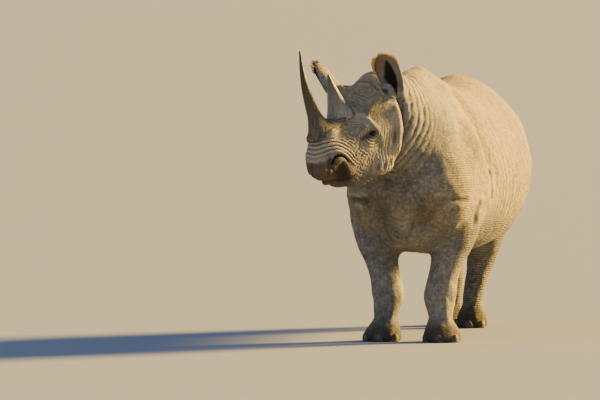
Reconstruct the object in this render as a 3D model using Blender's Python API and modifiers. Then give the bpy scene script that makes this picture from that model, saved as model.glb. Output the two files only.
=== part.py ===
"""A life-size black rhinoceros standing still, head raised and turned to its right.

Metres, +Z up. The animal faces -Y and its left side is +X. All sizes are worked out in a frame whose
origin lies on the floor midway between the forefeet; the finished animal is then moved so that the
origin is the middle of its bounds on the floor, and brought to life size. The flesh is built whole
from lofts and muscle masses, then parted with thin cuts into head, neck, trunk and legs. Ears, tail,
horns, eyes and toenails are pieces of their own, seated in sockets.
"""

import math
from collections import namedtuple

import bmesh
import bpy
import numpy as np
from mathutils import Matrix, Vector

SIDES = ((1, "left"), (-1, "right"))
LIFE_SIZE = 0.95  # from the sizes below to those of the living animal

GAP = 0.00032  # between touching pieces
HORN_GAP = 0.0010  # round the curved base of a horn
WELD = 0.00004  # shortest edge that a cut may leave
VOXEL = 0.0125  # cell of the fused flesh
SMOOTHING_ROUNDS = 14
BROAD_SMOOTHING_ROUNDS = 45  # over the trunk and neck, where the muscles melt together
FLESH_TRIANGLES = 3000

# The head's own frame sits at the back of the skull, level with the eyes.
POLL = Vector((-0.075, -0.425, 1.385))
HEAD_TURN = math.radians(30)  # to the animal's right
HEAD_DROOP = math.radians(28)  # nose below the back of the skull
HEAD = (Matrix.Translation(POLL) @ Matrix.Rotation(-HEAD_TURN, 4, "Z")
        @ Matrix.Rotation(HEAD_DROOP, 4, "X"))

EYE_RADIUS = 0.024
EYE_AT = Vector((0.133, -0.308, -0.012))  # the left eye, in the head's frame

# A slice across the body: its distance behind the forefeet, its half width, the heights of its top,
# widest line and bottom, and how full its upper and lower halves are (2 is an ellipse, less is leaner).
Slice = namedtuple("Slice", "behind half_width top widest bottom upper lower")
TRUNK = (
    Slice(-0.40, 0.17, 1.16, 0.98, 0.78, 2.0, 2.0),
    Slice(-0.33, 0.27, 1.30, 0.96, 0.67, 2.0, 2.0),
    Slice(-0.20, 0.345, 1.45, 0.94, 0.575, 1.7, 2.0),
    Slice(-0.02, 0.385, 1.565, 0.92, 0.52, 1.5, 2.1),
    Slice(0.14, 0.402, 1.585, 0.92, 0.50, 1.5, 2.2),
    Slice(0.38, 0.438, 1.535, 0.93, 0.49, 1.6, 2.2),
    Slice(0.66, 0.478, 1.480, 0.95, 0.47, 1.7, 2.2),
    Slice(0.92, 0.488, 1.490, 0.96, 0.475, 1.7, 2.2),
    Slice(1.16, 0.468, 1.530, 0.98, 0.50, 1.65, 2.2),
    Slice(1.38, 0.415, 1.505, 1.00, 0.57, 1.75, 2.1),
    Slice(1.56, 0.335, 1.420, 1.02, 0.68, 1.9, 2.0),
    Slice(1.70, 0.240, 1.310, 1.03, 0.80, 2.0, 2.0),
    Slice(1.78, 0.110, 1.180, 1.03, 0.92, 2.0, 2.0),
)

# The skull and muzzle: `behind` is minus the distance in front of the poll, heights are above the eyes.
SKULL = (
    Slice(0.14, 0.150, 0.150, -0.02, -0.20, 2.0, 2.0),
    Slice(0.06, 0.180, 0.190, -0.02, -0.245, 2.0, 2.0),
    Slice(-0.03, 0.186, 0.205, -0.02, -0.262, 1.9, 2.0),
    Slice(-0.12, 0.180, 0.205, -0.04, -0.280, 1.9, 2.3),
    Slice(-0.22, 0.168, 0.188, -0.05, -0.292, 1.9, 2.6),
    Slice(-0.30, 0.150, 0.162, -0.05, -0.302, 2.0, 2.6),
    Slice(-0.38, 0.132, 0.142, -0.06, -0.302, 2.2, 2.6),
    Slice(-0.46, 0.118, 0.130, -0.06, -0.284, 2.2, 2.5),
    Slice(-0.54, 0.114, 0.132, -0.05, -0.238, 2.2, 2.3),
    Slice(-0.61, 0.110, 0.118, -0.04, -0.186, 2.2, 2.1),
    Slice(-0.665, 0.094, 0.070, -0.035, -0.136, 2.2, 2.0),
    Slice(-0.705, 0.066, 0.020, -0.035, -0.098, 2.0, 2.0),
)

# Slices of the neck, each square to the neck where it lies.
NeckSlice = namedtuple("NeckSlice", "centre turn half_width rise drop")
NECK = (
    NeckSlice((0.000, 0.10, 1.10), 0, 0.290, 0.400, 0.450),
    NeckSlice((0.000, -0.06, 1.16), 4, 0.305, 0.365, 0.480),
    NeckSlice((-0.010, -0.20, 1.22), 10, 0.285, 0.300, 0.455),
    NeckSlice((-0.030, -0.32, 1.28), 18, 0.245, 0.245, 0.390),
    NeckSlice((-0.070, -0.43, 1.32), 26, 0.212, 0.225, 0.325),
    NeckSlice((-0.120, -0.53, 1.31), 30, 0.180, 0.190, 0.270),
)

# A level slice of a leg: its height, the middle's distance out from the animal's midline and behind
# the forefeet, and its half width and half depth.
LegSlice = namedtuple("LegSlice", "height out behind half_width half_depth")
FORELEG = (
    LegSlice(-0.03, 0.178, -0.030, 0.100, 0.112),
    LegSlice(0.000, 0.178, -0.030, 0.112, 0.125),
    LegSlice(0.045, 0.176, -0.030, 0.112, 0.124),
    LegSlice(0.095, 0.168, -0.018, 0.090, 0.098),
    LegSlice(0.150, 0.160, -0.004, 0.077, 0.083),
    LegSlice(0.230, 0.151, 0.002, 0.079, 0.084),
    LegSlice(0.310, 0.158, 0.002, 0.086, 0.092),
    LegSlice(0.390, 0.175, 0.004, 0.096, 0.103),
    LegSlice(0.480, 0.202, 0.020, 0.112, 0.124),
    LegSlice(0.600, 0.228, 0.045, 0.134, 0.158),
    LegSlice(0.740, 0.248, 0.075, 0.148, 0.195),
    LegSlice(0.880, 0.255, 0.090, 0.135, 0.205),
)
HIND_LEG = (
    LegSlice(-0.03, 0.0, 1.455, 0.082, 0.100),
    LegSlice(0.000, 0.0, 1.455, 0.092, 0.110),
    LegSlice(0.045, 0.0, 1.457, 0.092, 0.109),
    LegSlice(0.095, 0.0, 1.475, 0.083, 0.092),
    LegSlice(0.160, 0.0, 1.505, 0.071, 0.080),
    LegSlice(0.250, 0.013, 1.540, 0.072, 0.084),
    LegSlice(0.340, 0.036, 1.565, 0.081, 0.102),
    LegSlice(0.430, 0.064, 1.550, 0.094, 0.125),
    LegSlice(0.530, 0.100, 1.485, 0.116, 0.172),
    LegSlice(0.650, 0.130, 1.410, 0.142, 0.238),
    LegSlice(0.800, 0.168, 1.350, 0.165, 0.290),
    LegSlice(0.980, 0.190, 1.320, 0.165, 0.270),
    LegSlice(1.120, 0.190, 1.300, 0.140, 0.230),
)
HIND_FOOT_OUT = {"left": 0.055, "right": 0.118}
HIND_FOOT_BACK = {"left": -0.060, "right": 0.095}
FORE_FOOT_SHIFT = {"left": -0.006, "right": 0.006}

LEG_SHIFT_FADES = 0.75  # height over which a foot's shift dies out
LEG_SHIFT_KEPT = 0.3  # and the share of the sideways shift that stays

# Muscle, bone and skin masses: middle, half sizes (across, along, up) and tilt about the X axis.
Mass = namedtuple("Mass", "across behind height half_sizes tilt")
BODY_PAIRS = (
    Mass(0.262, 0.030, 0.990, (0.125, 0.210, 0.320), -14),  # shoulder blade
    Mass(0.268, 0.160, 0.920, (0.125, 0.200, 0.200), 0),  # triceps
    Mass(0.232, -0.150, 0.868, (0.138, 0.180, 0.214), 0),  # point of the shoulder
    Mass(0.230, 1.330, 1.050, (0.175, 0.290, 0.300), 12),  # haunch
    Mass(0.255, 1.200, 0.750, (0.115, 0.180, 0.200), -20),  # stifle
)
BODY_SINGLES = (
    Mass(0.0, 0.040, 1.490, (0.085, 0.300, 0.110), 4),  # withers
    Mass(0.0, -0.220, 1.450, (0.120, 0.260, 0.120), 14),  # crest of the neck
    Mass(0.0, -0.210, 0.730, (0.200, 0.150, 0.160), 0),  # brisket
)
HEAD_PAIRS = (
    Mass(0.112, -0.315, 0.042, (0.046, 0.075, 0.038), -14),  # brow ridge
    Mass(0.132, -0.252, 0.020, (0.040, 0.060, 0.045), 30),  # behind the eye
    Mass(0.118, -0.320, -0.050, (0.036, 0.070, 0.032), 8),  # under the eye
    Mass(0.118, -0.215, -0.030, (0.058, 0.120, 0.070), 12),  # cheekbone
    Mass(0.106, -0.160, -0.160, (0.080, 0.125, 0.112), 0),  # jowl
    Mass(0.098, -0.275, -0.205, (0.066, 0.120, 0.084), 6),  # corner of the jaw
    Mass(0.088, -0.175, 0.105, (0.088, 0.150, 0.082), 0),  # temple
    Mass(0.080, -0.590, -0.010, (0.046, 0.066, 0.055), 0),  # nostril wing
    Mass(0.056, -0.636, -0.080, (0.055, 0.070, 0.050), 0),  # side of the upper lip
)
HEAD_SINGLES = (
    Mass(0.0, -0.552, 0.112, (0.098, 0.094, 0.050), -6),  # boss of the front horn
    Mass(0.0, -0.375, 0.130, (0.090, 0.080, 0.045), 0),  # boss of the rear horn
    Mass(0.0, -0.688, -0.050, (0.048, 0.050, 0.056), 20),  # hooked tip of the upper lip
    Mass(0.0, -0.525, -0.190, (0.084, 0.100, 0.050), -8),  # lower lip and chin
    Mass(0.0, -0.060, 0.150, (0.110, 0.130, 0.075), 10),  # poll
    Mass(0.130, -0.060, 0.135, (0.060, 0.075, 0.070), 0),  # root of the left ear
    Mass(-0.160, -0.172, 0.138, (0.066, 0.090, 0.074), 0),  # root of the right ear, drawn forward
)

# Horns: middle of the base, spine points above it as (back, up), base half sizes and tip radius.
Horn = namedtuple("Horn", "name base spine half_width half_length tip flare")
FRONT_HORN = Horn("horn_front", (0, -0.565, 0.120),
                  ((0.000, 0.00), (0.000, 0.12), (0.008, 0.27), (0.032, 0.39), (0.068, 0.500)),
                  0.074, 0.084, 0.005, 0.46)
REAR_HORN = Horn("horn_rear", (0, -0.375, 0.125),
                 ((0.000, 0.00), (0.004, 0.08), (0.012, 0.17), (0.024, 0.262)),
                 0.088, 0.074, 0.006, 0.18)

EAR_THICKNESS = 0.009
EAR_RADIUS = 0.088
EAR_ROOT_RADIUS, EAR_ROOT_LENGTH = 0.036, 0.058
EAR_ROOT_SUNK, EAR_ROOT_BACK = 0.014, 0.016  # below the cup and behind it
EAR_SEAT_SHARE, EAR_SEAT_GAP = 0.42, 0.0006
EAR_ROWS, EAR_COLUMNS = 8, 8
# Each ear: its root, and the direction that it points, in the head's frame.
Ear = namedtuple("Ear", "name root tip facing")
EARS = (
    Ear("ear_left", (0.170, -0.052, 0.112), (0.212, -0.096, 0.370), (0.50, -1.0, 0.25)),
    Ear("ear_right", (-0.208, -0.158, 0.140), (-0.304, -0.136, 0.335), (-0.85, -1.0, 0.30)),
)

SKIN = ("hide", (0.30, 0.26, 0.22, 1), 0.85)
EAR_SKIN = ("ear_skin", (0.27, 0.22, 0.19, 1), 0.85)
HORN = ("horn", (0.16, 0.13, 0.10, 1), 0.6)
EYE = ("eye", (0.02, 0.014, 0.01, 1), 0.1)
NAIL = ("nail", (0.20, 0.17, 0.14, 1), 0.6)

TAIL_SPINE = (
    (0.0, 1.60, 1.270), (0.0, 1.750, 1.275), (0.0, 1.835, 1.170), (0.0, 1.845, 1.000),
    (0.004, 1.835, 0.850), (0.008, 1.825, 0.740), (0.010, 1.820, 0.640),
)
TAIL_RADII = (0.058, 0.048, 0.034, 0.025, 0.022, 0.030, 0.012)

HEAD_CUT = ((-0.37, -0.125), (0.45, 0.110))  # (height, distance behind) of the cut's lower and upper edge
NECK_CUT, NECK_CUT_NORMAL = (0.0, -0.17, 1.14), (0.0, -0.933, 0.36)
LEG_GAP = 2 * GAP
# Level slices of the block that parts a leg from the trunk. Between the hind legs, which stand
# staggered, the inner side is a slanting line instead: there `inner` is None.
Region = namedtuple("Region", "height inner outer ahead behind")
FORELEG_REGION = (
    Region(-0.05, 0.010, 0.45, -0.26, 0.24),
    Region(0.47, 0.030, 0.46, -0.22, 0.25),
    Region(0.68, 0.150, 0.47, -0.17, 0.26),
)
HIND_LEG_REGION = (
    Region(-0.05, None, 0.45, 1.25, 1.76),
    Region(0.44, None, 0.48, 1.16, 1.80),
    Region(0.74, 0.130, 0.52, 1.08, 1.84),
)
REGION_TOP = 0.6  # slices above this height move with the margin
HIND_PARTING = (-0.116, 0.044)  # where the line between the hind legs starts and ends, across
HIND_PARTING_GAP = 0.006  # each leg's block keeps this far from that line

NAIL_TURNS = (-58, 0, 58)  # degrees about the foot: outer, front and inner toe
NAIL_HALF_WIDTH, NAIL_HEIGHT, NAIL_STANDS_OUT = 0.034, 0.050, 0.008
NAIL_FLOOR = 0.001  # the nails just clear the floor, so the animal stands on its soles


def clear_scene():
    for thing in list(bpy.data.objects):
        bpy.data.objects.remove(thing, do_unlink=True)


def collection(name):
    made = bpy.data.collections.new(name)
    bpy.context.scene.collection.children.link(made)
    return made


def material(named):
    name, colour, roughness = named
    found = bpy.data.materials.get(name)
    if found is None:
        found = bpy.data.materials.new(name)
        found.use_nodes = True
        shader = found.node_tree.nodes["Principled BSDF"]
        shader.inputs["Base Color"].default_value = colour
        shader.inputs["Roughness"].default_value = roughness
        shader.inputs["Metallic"].default_value = 0.0
    return found


def new_object(name, bm, matrix=None):
    """Turns a bmesh into an object of the scene, in world coordinates."""
    if matrix is not None:
        bmesh.ops.transform(bm, matrix=matrix, verts=bm.verts)
    bmesh.ops.recalc_face_normals(bm, faces=bm.faces)
    mesh = bpy.data.meshes.new(name)
    bm.to_mesh(mesh)
    bm.free()
    made = bpy.data.objects.new(name, mesh)
    bpy.context.scene.collection.objects.link(made)
    return made


def curved(table, steps):
    """Rows of numbers read along a smooth curve through the table's rows, `steps` to each stretch."""
    rows = np.array(table, dtype=float)
    padded = np.vstack([2 * rows[0] - rows[1], rows, 2 * rows[-1] - rows[-2]])
    found = []
    for i in range(len(rows) - 1):
        a, b, c, d = padded[i:i + 4]
        for t in np.arange(steps) / steps:
            found.append(0.5 * (2 * b + (c - a) * t + (2 * a - 5 * b + 4 * c - d) * t**2
                                + (3 * b - a - 3 * c + d) * t**3))
    found.append(rows[-1])
    return np.array(found)


def egg(sides, half_width, rise, drop, upper=2.0, lower=2.0):
    """(across, up) points round an egg whose widest line is at height 0."""
    points = []
    for turn in np.arange(sides) * 2 * math.pi / sides:
        across, up = math.cos(turn), math.sin(turn)
        power = 2.0 / (upper if up > 0 else lower)
        points.append((half_width * math.copysign(abs(across)**power, across),
                       (rise if up > 0 else drop) * math.copysign(abs(up)**power, up)))
    return points


def loft(name, rings, matrix=None):
    """A closed skin through rings that all have the same number of points."""
    bm = bmesh.new()
    loops = [[bm.verts.new(point) for point in ring] for ring in rings]
    for lower, upper in zip(loops, loops[1:]):
        for i in range(len(lower)):
            j = (i + 1) % len(lower)
            bm.faces.new((lower[i], lower[j], upper[j], upper[i]))
    bm.faces.new(loops[0])
    bm.faces.new(loops[-1])
    # Fixed diagonals, so that a seat's facets follow those of the piece that it holds.
    bmesh.ops.triangulate(bm, faces=bm.faces, quad_method="FIXED")
    return new_object(name, bm, matrix)


def sliced(name, table, sides, matrix=None):
    """A loft through upright slices set along the body."""
    rings = []
    for behind, half, top, widest, bottom, upper, lower in curved(table, 3):
        outline = egg(sides, half, top - widest, widest - bottom, upper, lower)
        rings.append([(x, behind, widest + z) for x, z in outline])
    return loft(name, rings, matrix)


def neck():
    rows = [(*row.centre, row.turn, row.half_width, row.rise, row.drop) for row in NECK]
    rings = []
    for x, y, z, turn, half, rise, drop in curved(rows, 3):
        place = Matrix.Translation((x, y, z)) @ Matrix.Rotation(-math.radians(turn), 4, "Z")
        outline = egg(40, half, rise, drop, 1.8, 2.0)
        rings.append([place @ Vector((across, 0, up)) for across, up in outline])
    return loft("neck_mass", rings)


def leg(name, table, side, shift_out, shift_behind=0.0):
    """A leg through its level slices; the foot's shift fades away up the leg."""
    rings = []
    for height, out, behind, half_width, half_depth in curved(table, 3):
        share = min(max(1 - (height - 0.1) / LEG_SHIFT_FADES, 0), 1)
        middle = side * (out + shift_out * max(share, LEG_SHIFT_KEPT))
        rings.append([(middle + x, behind + shift_behind * share + y, height)
                      for x, y in egg(28, half_width, half_depth, half_depth)])
    return loft(name, rings)


def ball(name, middle, half_sizes, tilt=0.0, matrix=None, segments=24, rings=16):
    bm = bmesh.new()
    bmesh.ops.create_uvsphere(bm, u_segments=segments, v_segments=rings, radius=1.0)
    place = (Matrix.Translation(middle) @ Matrix.Rotation(math.radians(tilt), 4, "X")
             @ Matrix.Diagonal((*half_sizes, 1.0)))
    bmesh.ops.transform(bm, matrix=place, verts=bm.verts)
    return new_object(name, bm, matrix)


def masses(prefix, singles, pairs, matrix=None):
    made = []
    for number, mass in enumerate(singles):
        middle = (mass.across, mass.behind, mass.height)
        made.append(ball(f"{prefix}_middle_{number}", middle, mass.half_sizes, mass.tilt, matrix))
    for number, mass in enumerate(pairs):
        for side in (-1, 1):
            middle = (side * mass.across, mass.behind, mass.height)
            made.append(ball(f"{prefix}_pair_{number}_{side}", middle, mass.half_sizes, mass.tilt, matrix))
    return made


def modified(thing, kind, **settings):
    """Adds a modifier with these settings and applies it."""
    modifier = thing.modifiers.new(kind.title(), kind)
    for name, value in settings.items():
        setattr(modifier, name, value)
    graph = bpy.context.evaluated_depsgraph_get()
    mesh = bpy.data.meshes.new_from_object(thing.evaluated_get(graph))
    thing.modifiers.clear()
    old = thing.data
    mesh.name = thing.name
    thing.data = mesh
    bpy.data.meshes.remove(old)
    return thing


def joined(name, things):
    """One object that holds the meshes of all of them."""
    bm = bmesh.new()
    for thing in things:
        bm.from_mesh(thing.data)
        bpy.data.objects.remove(thing, do_unlink=True)
    mesh = bpy.data.meshes.new(name)
    bm.to_mesh(mesh)
    bm.free()
    made = bpy.data.objects.new(name, mesh)
    bpy.context.scene.collection.objects.link(made)
    return made


def boolean(thing, operation, cutter):
    """Cuts or joins with a cutter, which it uses up."""
    modified(thing, "BOOLEAN", operation=operation, object=cutter, solver="EXACT")
    bpy.data.objects.remove(cutter, do_unlink=True)
    return thing


def welded(thing):
    """Welds the crumbs of edges that a cut leaves."""
    bm = bmesh.new()
    bm.from_mesh(thing.data)
    bmesh.ops.triangulate(bm, faces=bm.faces)
    bmesh.ops.remove_doubles(bm, verts=bm.verts, dist=WELD)
    bmesh.ops.dissolve_degenerate(bm, edges=bm.edges, dist=WELD)
    bmesh.ops.triangulate(bm, faces=bm.faces)
    bm.to_mesh(thing.data)
    bm.free()
    return thing


def keep_largest(piece):
    """Drops the crumbs that a cut leaves loose, such as the flesh inside the root of an ear."""
    bm = bmesh.new()
    bm.from_mesh(piece.data)
    unseen = set(bm.verts)
    islands = []
    while unseen:
        island, front = set(), [unseen.pop()]
        while front:
            vertex = front.pop()
            island.add(vertex)
            for edge in vertex.link_edges:
                other = edge.other_vert(vertex)
                if other in unseen:
                    unseen.remove(other)
                    front.append(other)
        islands.append(island)
    islands.sort(key=len)
    for island in islands[:-1]:
        bmesh.ops.delete(bm, geom=list(island), context="VERTS")
    bm.to_mesh(piece.data)
    bm.free()
    return piece


def copy_of(thing, name):
    made = thing.copy()
    made.data = thing.data.copy()
    made.name = name
    bpy.context.scene.collection.objects.link(made)
    return made


def ear_seat(spec, piece):
    """The hull of an ear's lower part, a little swollen: the hollow that it stands in."""
    root, tip = HEAD @ Vector(spec.root), HEAD @ Vector(spec.tip)
    axis = tip - root
    bm = bmesh.new()
    for vertex in piece.data.vertices:
        if (vertex.co - root).dot(axis) < EAR_SEAT_SHARE * axis.length_squared:
            bm.verts.new(vertex.co)
    hull = bmesh.ops.convex_hull(bm, input=bm.verts)
    loose = {part for part in hull["geom_interior"] + hull["geom_unused"]
             if isinstance(part, bmesh.types.BMVert)}
    bmesh.ops.delete(bm, geom=list(loose), context="VERTS")
    bm.normal_update()
    for vertex, normal in [(vertex, vertex.normal.copy()) for vertex in bm.verts]:
        vertex.co += normal * EAR_SEAT_GAP
    return new_object(f"{spec.name}_seat", bm)


def block(name, low, high, matrix=None):
    bm = bmesh.new()
    size = Vector(high) - Vector(low)
    place = Matrix.Translation((Vector(low) + Vector(high)) / 2) @ Matrix.Diagonal((*size, 1.0))
    bmesh.ops.create_cube(bm, size=1.0, matrix=place)
    return new_object(name, bm, matrix)


def flesh():
    """The whole animal's flesh as one fused, smoothed and thinned mesh, its soles flat on the floor."""
    pieces = [sliced("trunk_mass", TRUNK, 48), sliced("skull_mass", SKULL, 40, HEAD), neck()]
    for side, name in SIDES:
        pieces.append(leg(f"foreleg_{name}_mass", FORELEG, side, FORE_FOOT_SHIFT[name]))
        pieces.append(leg(f"hind_leg_{name}_mass", HIND_LEG, side, HIND_FOOT_OUT[name],
                          HIND_FOOT_BACK[name]))
    pieces += masses("body", BODY_SINGLES, BODY_PAIRS)
    pieces += masses("head", HEAD_SINGLES, HEAD_PAIRS, HEAD)
    body = joined("flesh", pieces)
    modified(body, "REMESH", mode="VOXEL", voxel_size=VOXEL, adaptivity=0.0)
    modified(body, "SMOOTH", factor=0.5, iterations=SMOOTHING_ROUNDS)
    group = body.vertex_groups.new(name="broad")
    inverse = HEAD.inverted()
    for vertex in body.data.vertices:
        ahead = -(inverse @ vertex.co).y
        away = min(max(1.0 - ahead / 0.15, 0.0), 1.0) * min(max((vertex.co.z - 0.45) / 0.15, 0.0), 1.0)
        group.add([vertex.index], away, "REPLACE")
    modified(body, "SMOOTH", factor=0.5, iterations=BROAD_SMOOTHING_ROUNDS, vertex_group="broad")
    return body


def thin_out(body):
    """Spends most of the triangles on the head, by weighing each vertex before the Decimate."""
    group = body.vertex_groups.new(name="plain")
    inverse = HEAD.inverted()
    for vertex in body.data.vertices:
        ahead = -(inverse @ vertex.co).y
        head_like = min(max(ahead / 0.2 + 0.2, 0.0), 1.0) if vertex.co.z > 0.9 else 0.0
        group.add([vertex.index], 1.0 - 0.15 * head_like, "REPLACE")
    body.data.calc_loop_triangles()
    ratio = FLESH_TRIANGLES / len(body.data.loop_triangles)
    return modified(body, "DECIMATE", decimate_type="COLLAPSE", ratio=ratio, use_collapse_triangulate=True,
                    vertex_group="plain", vertex_group_factor=1.0)


def horn(spec, margin=0.0):
    """A curved cone on the nose; a margin swells it into its own socket cutter."""
    base = Vector(spec.base)
    spine = curved(spec.spine, 4)
    length = spine[-1][1]
    rings = []
    for back, up in spine:
        share = up / length
        flared = spec.flare * min(share / 0.20, 1) ** 0.6
        tapered = (1 - spec.flare) * max(share - 0.12, 0) / 0.88
        fullness = max(1 - flared - tapered, 0.0)
        half_width = spec.tip + (spec.half_width - spec.tip) * fullness
        half_length = spec.tip + (spec.half_length - spec.tip) * fullness
        height = up - margin if up == 0 else up
        rings.append([base + Vector((x, back + y, height))
                      for x, y in egg(16, half_width + margin, half_length + margin, half_length + margin)])
    return loft(spec.name, rings, HEAD)


def ear_axes(spec):
    """The way that an ear points, the way that its cup opens and the way across, in the head's frame."""
    axis = (Vector(spec.tip) - Vector(spec.root)).normalized()
    front = Vector(spec.facing)
    front = (front - axis * front.dot(axis)).normalized()
    return axis, front, axis.cross(front)


def ear(spec):
    """A cupped leaf round a curved axis: rolled nearly shut at its root, open in front towards its tip."""
    root, tip = Vector(spec.root), Vector(spec.tip)
    _, front, across = ear_axes(spec)
    bm = bmesh.new()
    rows = []
    for step in range(EAR_ROWS + 1):
        share = step / EAR_ROWS
        width = EAR_RADIUS * (0.42 + 0.58 * math.sin(math.pi * min(share / 0.62, 1) / 2) ** 1.2)
        width *= math.sqrt(max(1 - max((share - 0.55) / 0.46, 0) ** 2.4, 0))
        roll = math.radians(158 - 50 * min(share / 0.42, 1) - 24 * share)
        lean = -0.020 * math.sin(math.pi * share)
        middle = root.lerp(tip, share) + front * lean
        row = []
        for column in range(EAR_COLUMNS + 1):
            turn = roll * (2 * column / EAR_COLUMNS - 1)
            depth = -math.cos(turn) * (0.62 if abs(turn) < math.pi / 2 else 0.45)
            row.append(bm.verts.new(middle + across * width * math.sin(turn) + front * width * depth))
        rows.append(row)
    for lower, upper in zip(rows, rows[1:]):
        for i in range(EAR_COLUMNS):
            bm.faces.new((lower[i], lower[i + 1], upper[i + 1], upper[i]))
    shell = new_object(spec.name, bm, HEAD)
    modified(shell, "SOLIDIFY", thickness=EAR_THICKNESS, offset=0.0, use_even_offset=True)
    return shell


def ear_root(spec):
    """The rounded root that seats an ear in the head."""
    axis, front, _ = ear_axes(spec)
    root = Vector(spec.root) - EAR_ROOT_SUNK * axis - EAR_ROOT_BACK * front
    turned = axis.to_track_quat("Z", "Y").to_matrix().to_4x4()
    bm = bmesh.new()
    bmesh.ops.create_uvsphere(bm, u_segments=12, v_segments=8, radius=1.0)
    size = Matrix.Diagonal((EAR_ROOT_RADIUS, EAR_ROOT_RADIUS, EAR_ROOT_LENGTH, 1.0))
    bmesh.ops.transform(bm, matrix=Matrix.Translation(root) @ turned @ size, verts=bm.verts)
    return new_object(f"{spec.name}_root", bm, HEAD)


def tail(margin=0.0):
    """A tapering tube down the rump, a little wider where its tuft grows."""
    spine = curved([(*place, radius) for place, radius in zip(TAIL_SPINE, TAIL_RADII)], 2)
    rings = []
    for i, (x, y, z, radius) in enumerate(spine):
        before, after = spine[max(i - 1, 0)], spine[min(i + 1, len(spine) - 1)]
        along = Vector(after[:3]) - Vector(before[:3])
        up = along.normalized().cross(Vector((1, 0, 0)))
        size = radius + margin
        middle = Vector((x, y, z)) - along.normalized() * (margin if i == 0 else 0.0)
        rings.append([middle + Vector((a, 0, 0)) + up * b for a, b in egg(10, size, size, size)])
    return loft("tail", rings)


def eyeball(side, name, margin=0.0):
    middle = Vector((side * EYE_AT.x, EYE_AT.y, EYE_AT.z))
    radius = EYE_RADIUS + margin
    return ball(name, middle, (radius, radius, radius), 0, HEAD, 12, 8)


def nail(foot, turn, name, margin=0.0):
    """One toenail: a flattened, bevelled dome let into the edge of the foot."""
    middle, half_width, half_depth = foot
    angle = math.radians(turn)
    rim = Vector((math.sin(angle) * half_width, -math.cos(angle) * half_depth, 0.0))
    outward = Vector((math.sin(angle) / half_width, -math.cos(angle) / half_depth, 0.0)).normalized()
    facing = Matrix((
        (-outward.y, outward.x, 0, 0), (outward.x, outward.y, 0, 0), (0, 0, 1, 0), (0, 0, 0, 1)))
    bm = bmesh.new()
    bmesh.ops.create_uvsphere(bm, u_segments=10, v_segments=6, radius=1.0)
    depth = 0.022
    size = Matrix.Diagonal((NAIL_HALF_WIDTH + margin, depth + margin, NAIL_HEIGHT + margin, 1.0))
    lean = Matrix.Rotation(math.radians(-14), 4, "X")
    sits = middle + rim - outward * (depth - NAIL_STANDS_OUT)
    sits.z = NAIL_FLOOR
    place = Matrix.Translation(sits) @ facing @ lean @ size
    bmesh.ops.transform(bm, matrix=place, verts=bm.verts)
    low = NAIL_FLOOR if margin == 0 else -0.01
    bmesh.ops.bisect_plane(bm, geom=bm.verts[:] + bm.edges[:] + bm.faces[:], plane_co=(0, 0, low),
                           plane_no=(0, 0, -1), clear_outer=True)
    bmesh.ops.holes_fill(bm, edges=bm.edges[:], sides=0)
    bmesh.ops.triangulate(bm, faces=bm.faces)
    return new_object(name, bm)


def feet():
    """Each foot's name with its (middle, half width, half depth) on the floor."""
    found = {}
    for side, name in SIDES:
        for kind, table, shift, back in (("fore", FORELEG, FORE_FOOT_SHIFT[name], 0.0),
                                         ("hind", HIND_LEG, HIND_FOOT_OUT[name], HIND_FOOT_BACK[name])):
            base = table[1]
            middle = Vector((side * (base.out + shift), base.behind + back, 0.0))
            found[f"{kind}_{name}"] = (middle, base.half_width, base.half_depth)
    return found


def parted(body, name, region, wide_region):
    """Cuts the flesh inside a region off as a piece of its own, with a thin gap, and returns it."""
    piece = boolean(copy_of(body, name), "INTERSECT", region)
    boolean(body, "DIFFERENCE", wide_region)
    keep_largest(welded(body))
    return keep_largest(welded(piece))


def region_behind_plane(name, point, normal, reach, margin):
    """A block whose face lies on a plane, reaching out along the plane's normal."""
    facing = Vector(normal).normalized().to_track_quat("Z", "Y").to_matrix().to_4x4()
    place = Matrix.Translation(point) @ facing
    return block(name, (-1.5, -1.5, -margin), (1.5, 1.5, reach), place)


def head_region(margin):
    """The block in front of the neck that holds the head, down to the throat."""
    side = 0.3 + margin
    rings = []
    for above, behind in HEAD_CUT:
        height = above + math.copysign(margin, above)
        rings.append([Vector((x, y, height)) for x, y in
                      ((-side, -1.2), (side, -1.2), (side, behind + margin), (-side, behind + margin))])
    return loft("head_region", rings, HEAD)


def leg_region(name, side, table, margin):
    """A tapered block round one leg: its inner face runs between the legs, its top crosses the limb."""
    parting = [side * across + HIND_PARTING_GAP for across in HIND_PARTING]
    rings = []
    for height, inner, outer, ahead, behind in table:
        inner_ahead, inner_behind = parting if inner is None else (inner, inner)
        corners = ((inner_ahead, ahead, -1, -1), (outer, ahead, 1, -1),
                   (outer, behind, 1, 1), (inner_behind, behind, -1, 1))
        level = height + (margin if height > REGION_TOP else 0.0)
        rings.append([Vector((side * (x + margin * out), y + margin * back, level))
                      for x, y, out, back in corners])
    return loft(f"{name}_region", rings)


def leg_regions(margin):
    """The region of each leg, by node name."""
    made = {}
    for side, side_name in SIDES:
        for name, table in (("foreleg", FORELEG_REGION), ("hind_leg", HIND_LEG_REGION)):
            node = f"{name}_{side_name}"
            made[node] = leg_region(node, side, table, margin)
    return made


def part_flesh(body):
    """Divides the flesh into head, neck, four legs and trunk."""
    boolean(body, "DIFFERENCE", block("floor", (-2, -2, -1), (2, 3, 0)))
    front = [region_behind_plane("front", NECK_CUT, NECK_CUT_NORMAL, 1.6, m) for m in (0, GAP)]
    upper = parted(body, "neck", *front)
    skull = [head_region(m) for m in (0, GAP)]
    pieces = {"head": parted(upper, "head", *skull), "neck": upper}
    narrow, wide = leg_regions(0.0), leg_regions(LEG_GAP)
    for name in narrow:
        pieces[name] = parted(body, name, narrow[name], wide[name])
    body.name = "trunk"
    pieces["trunk"] = body
    return pieces


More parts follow.
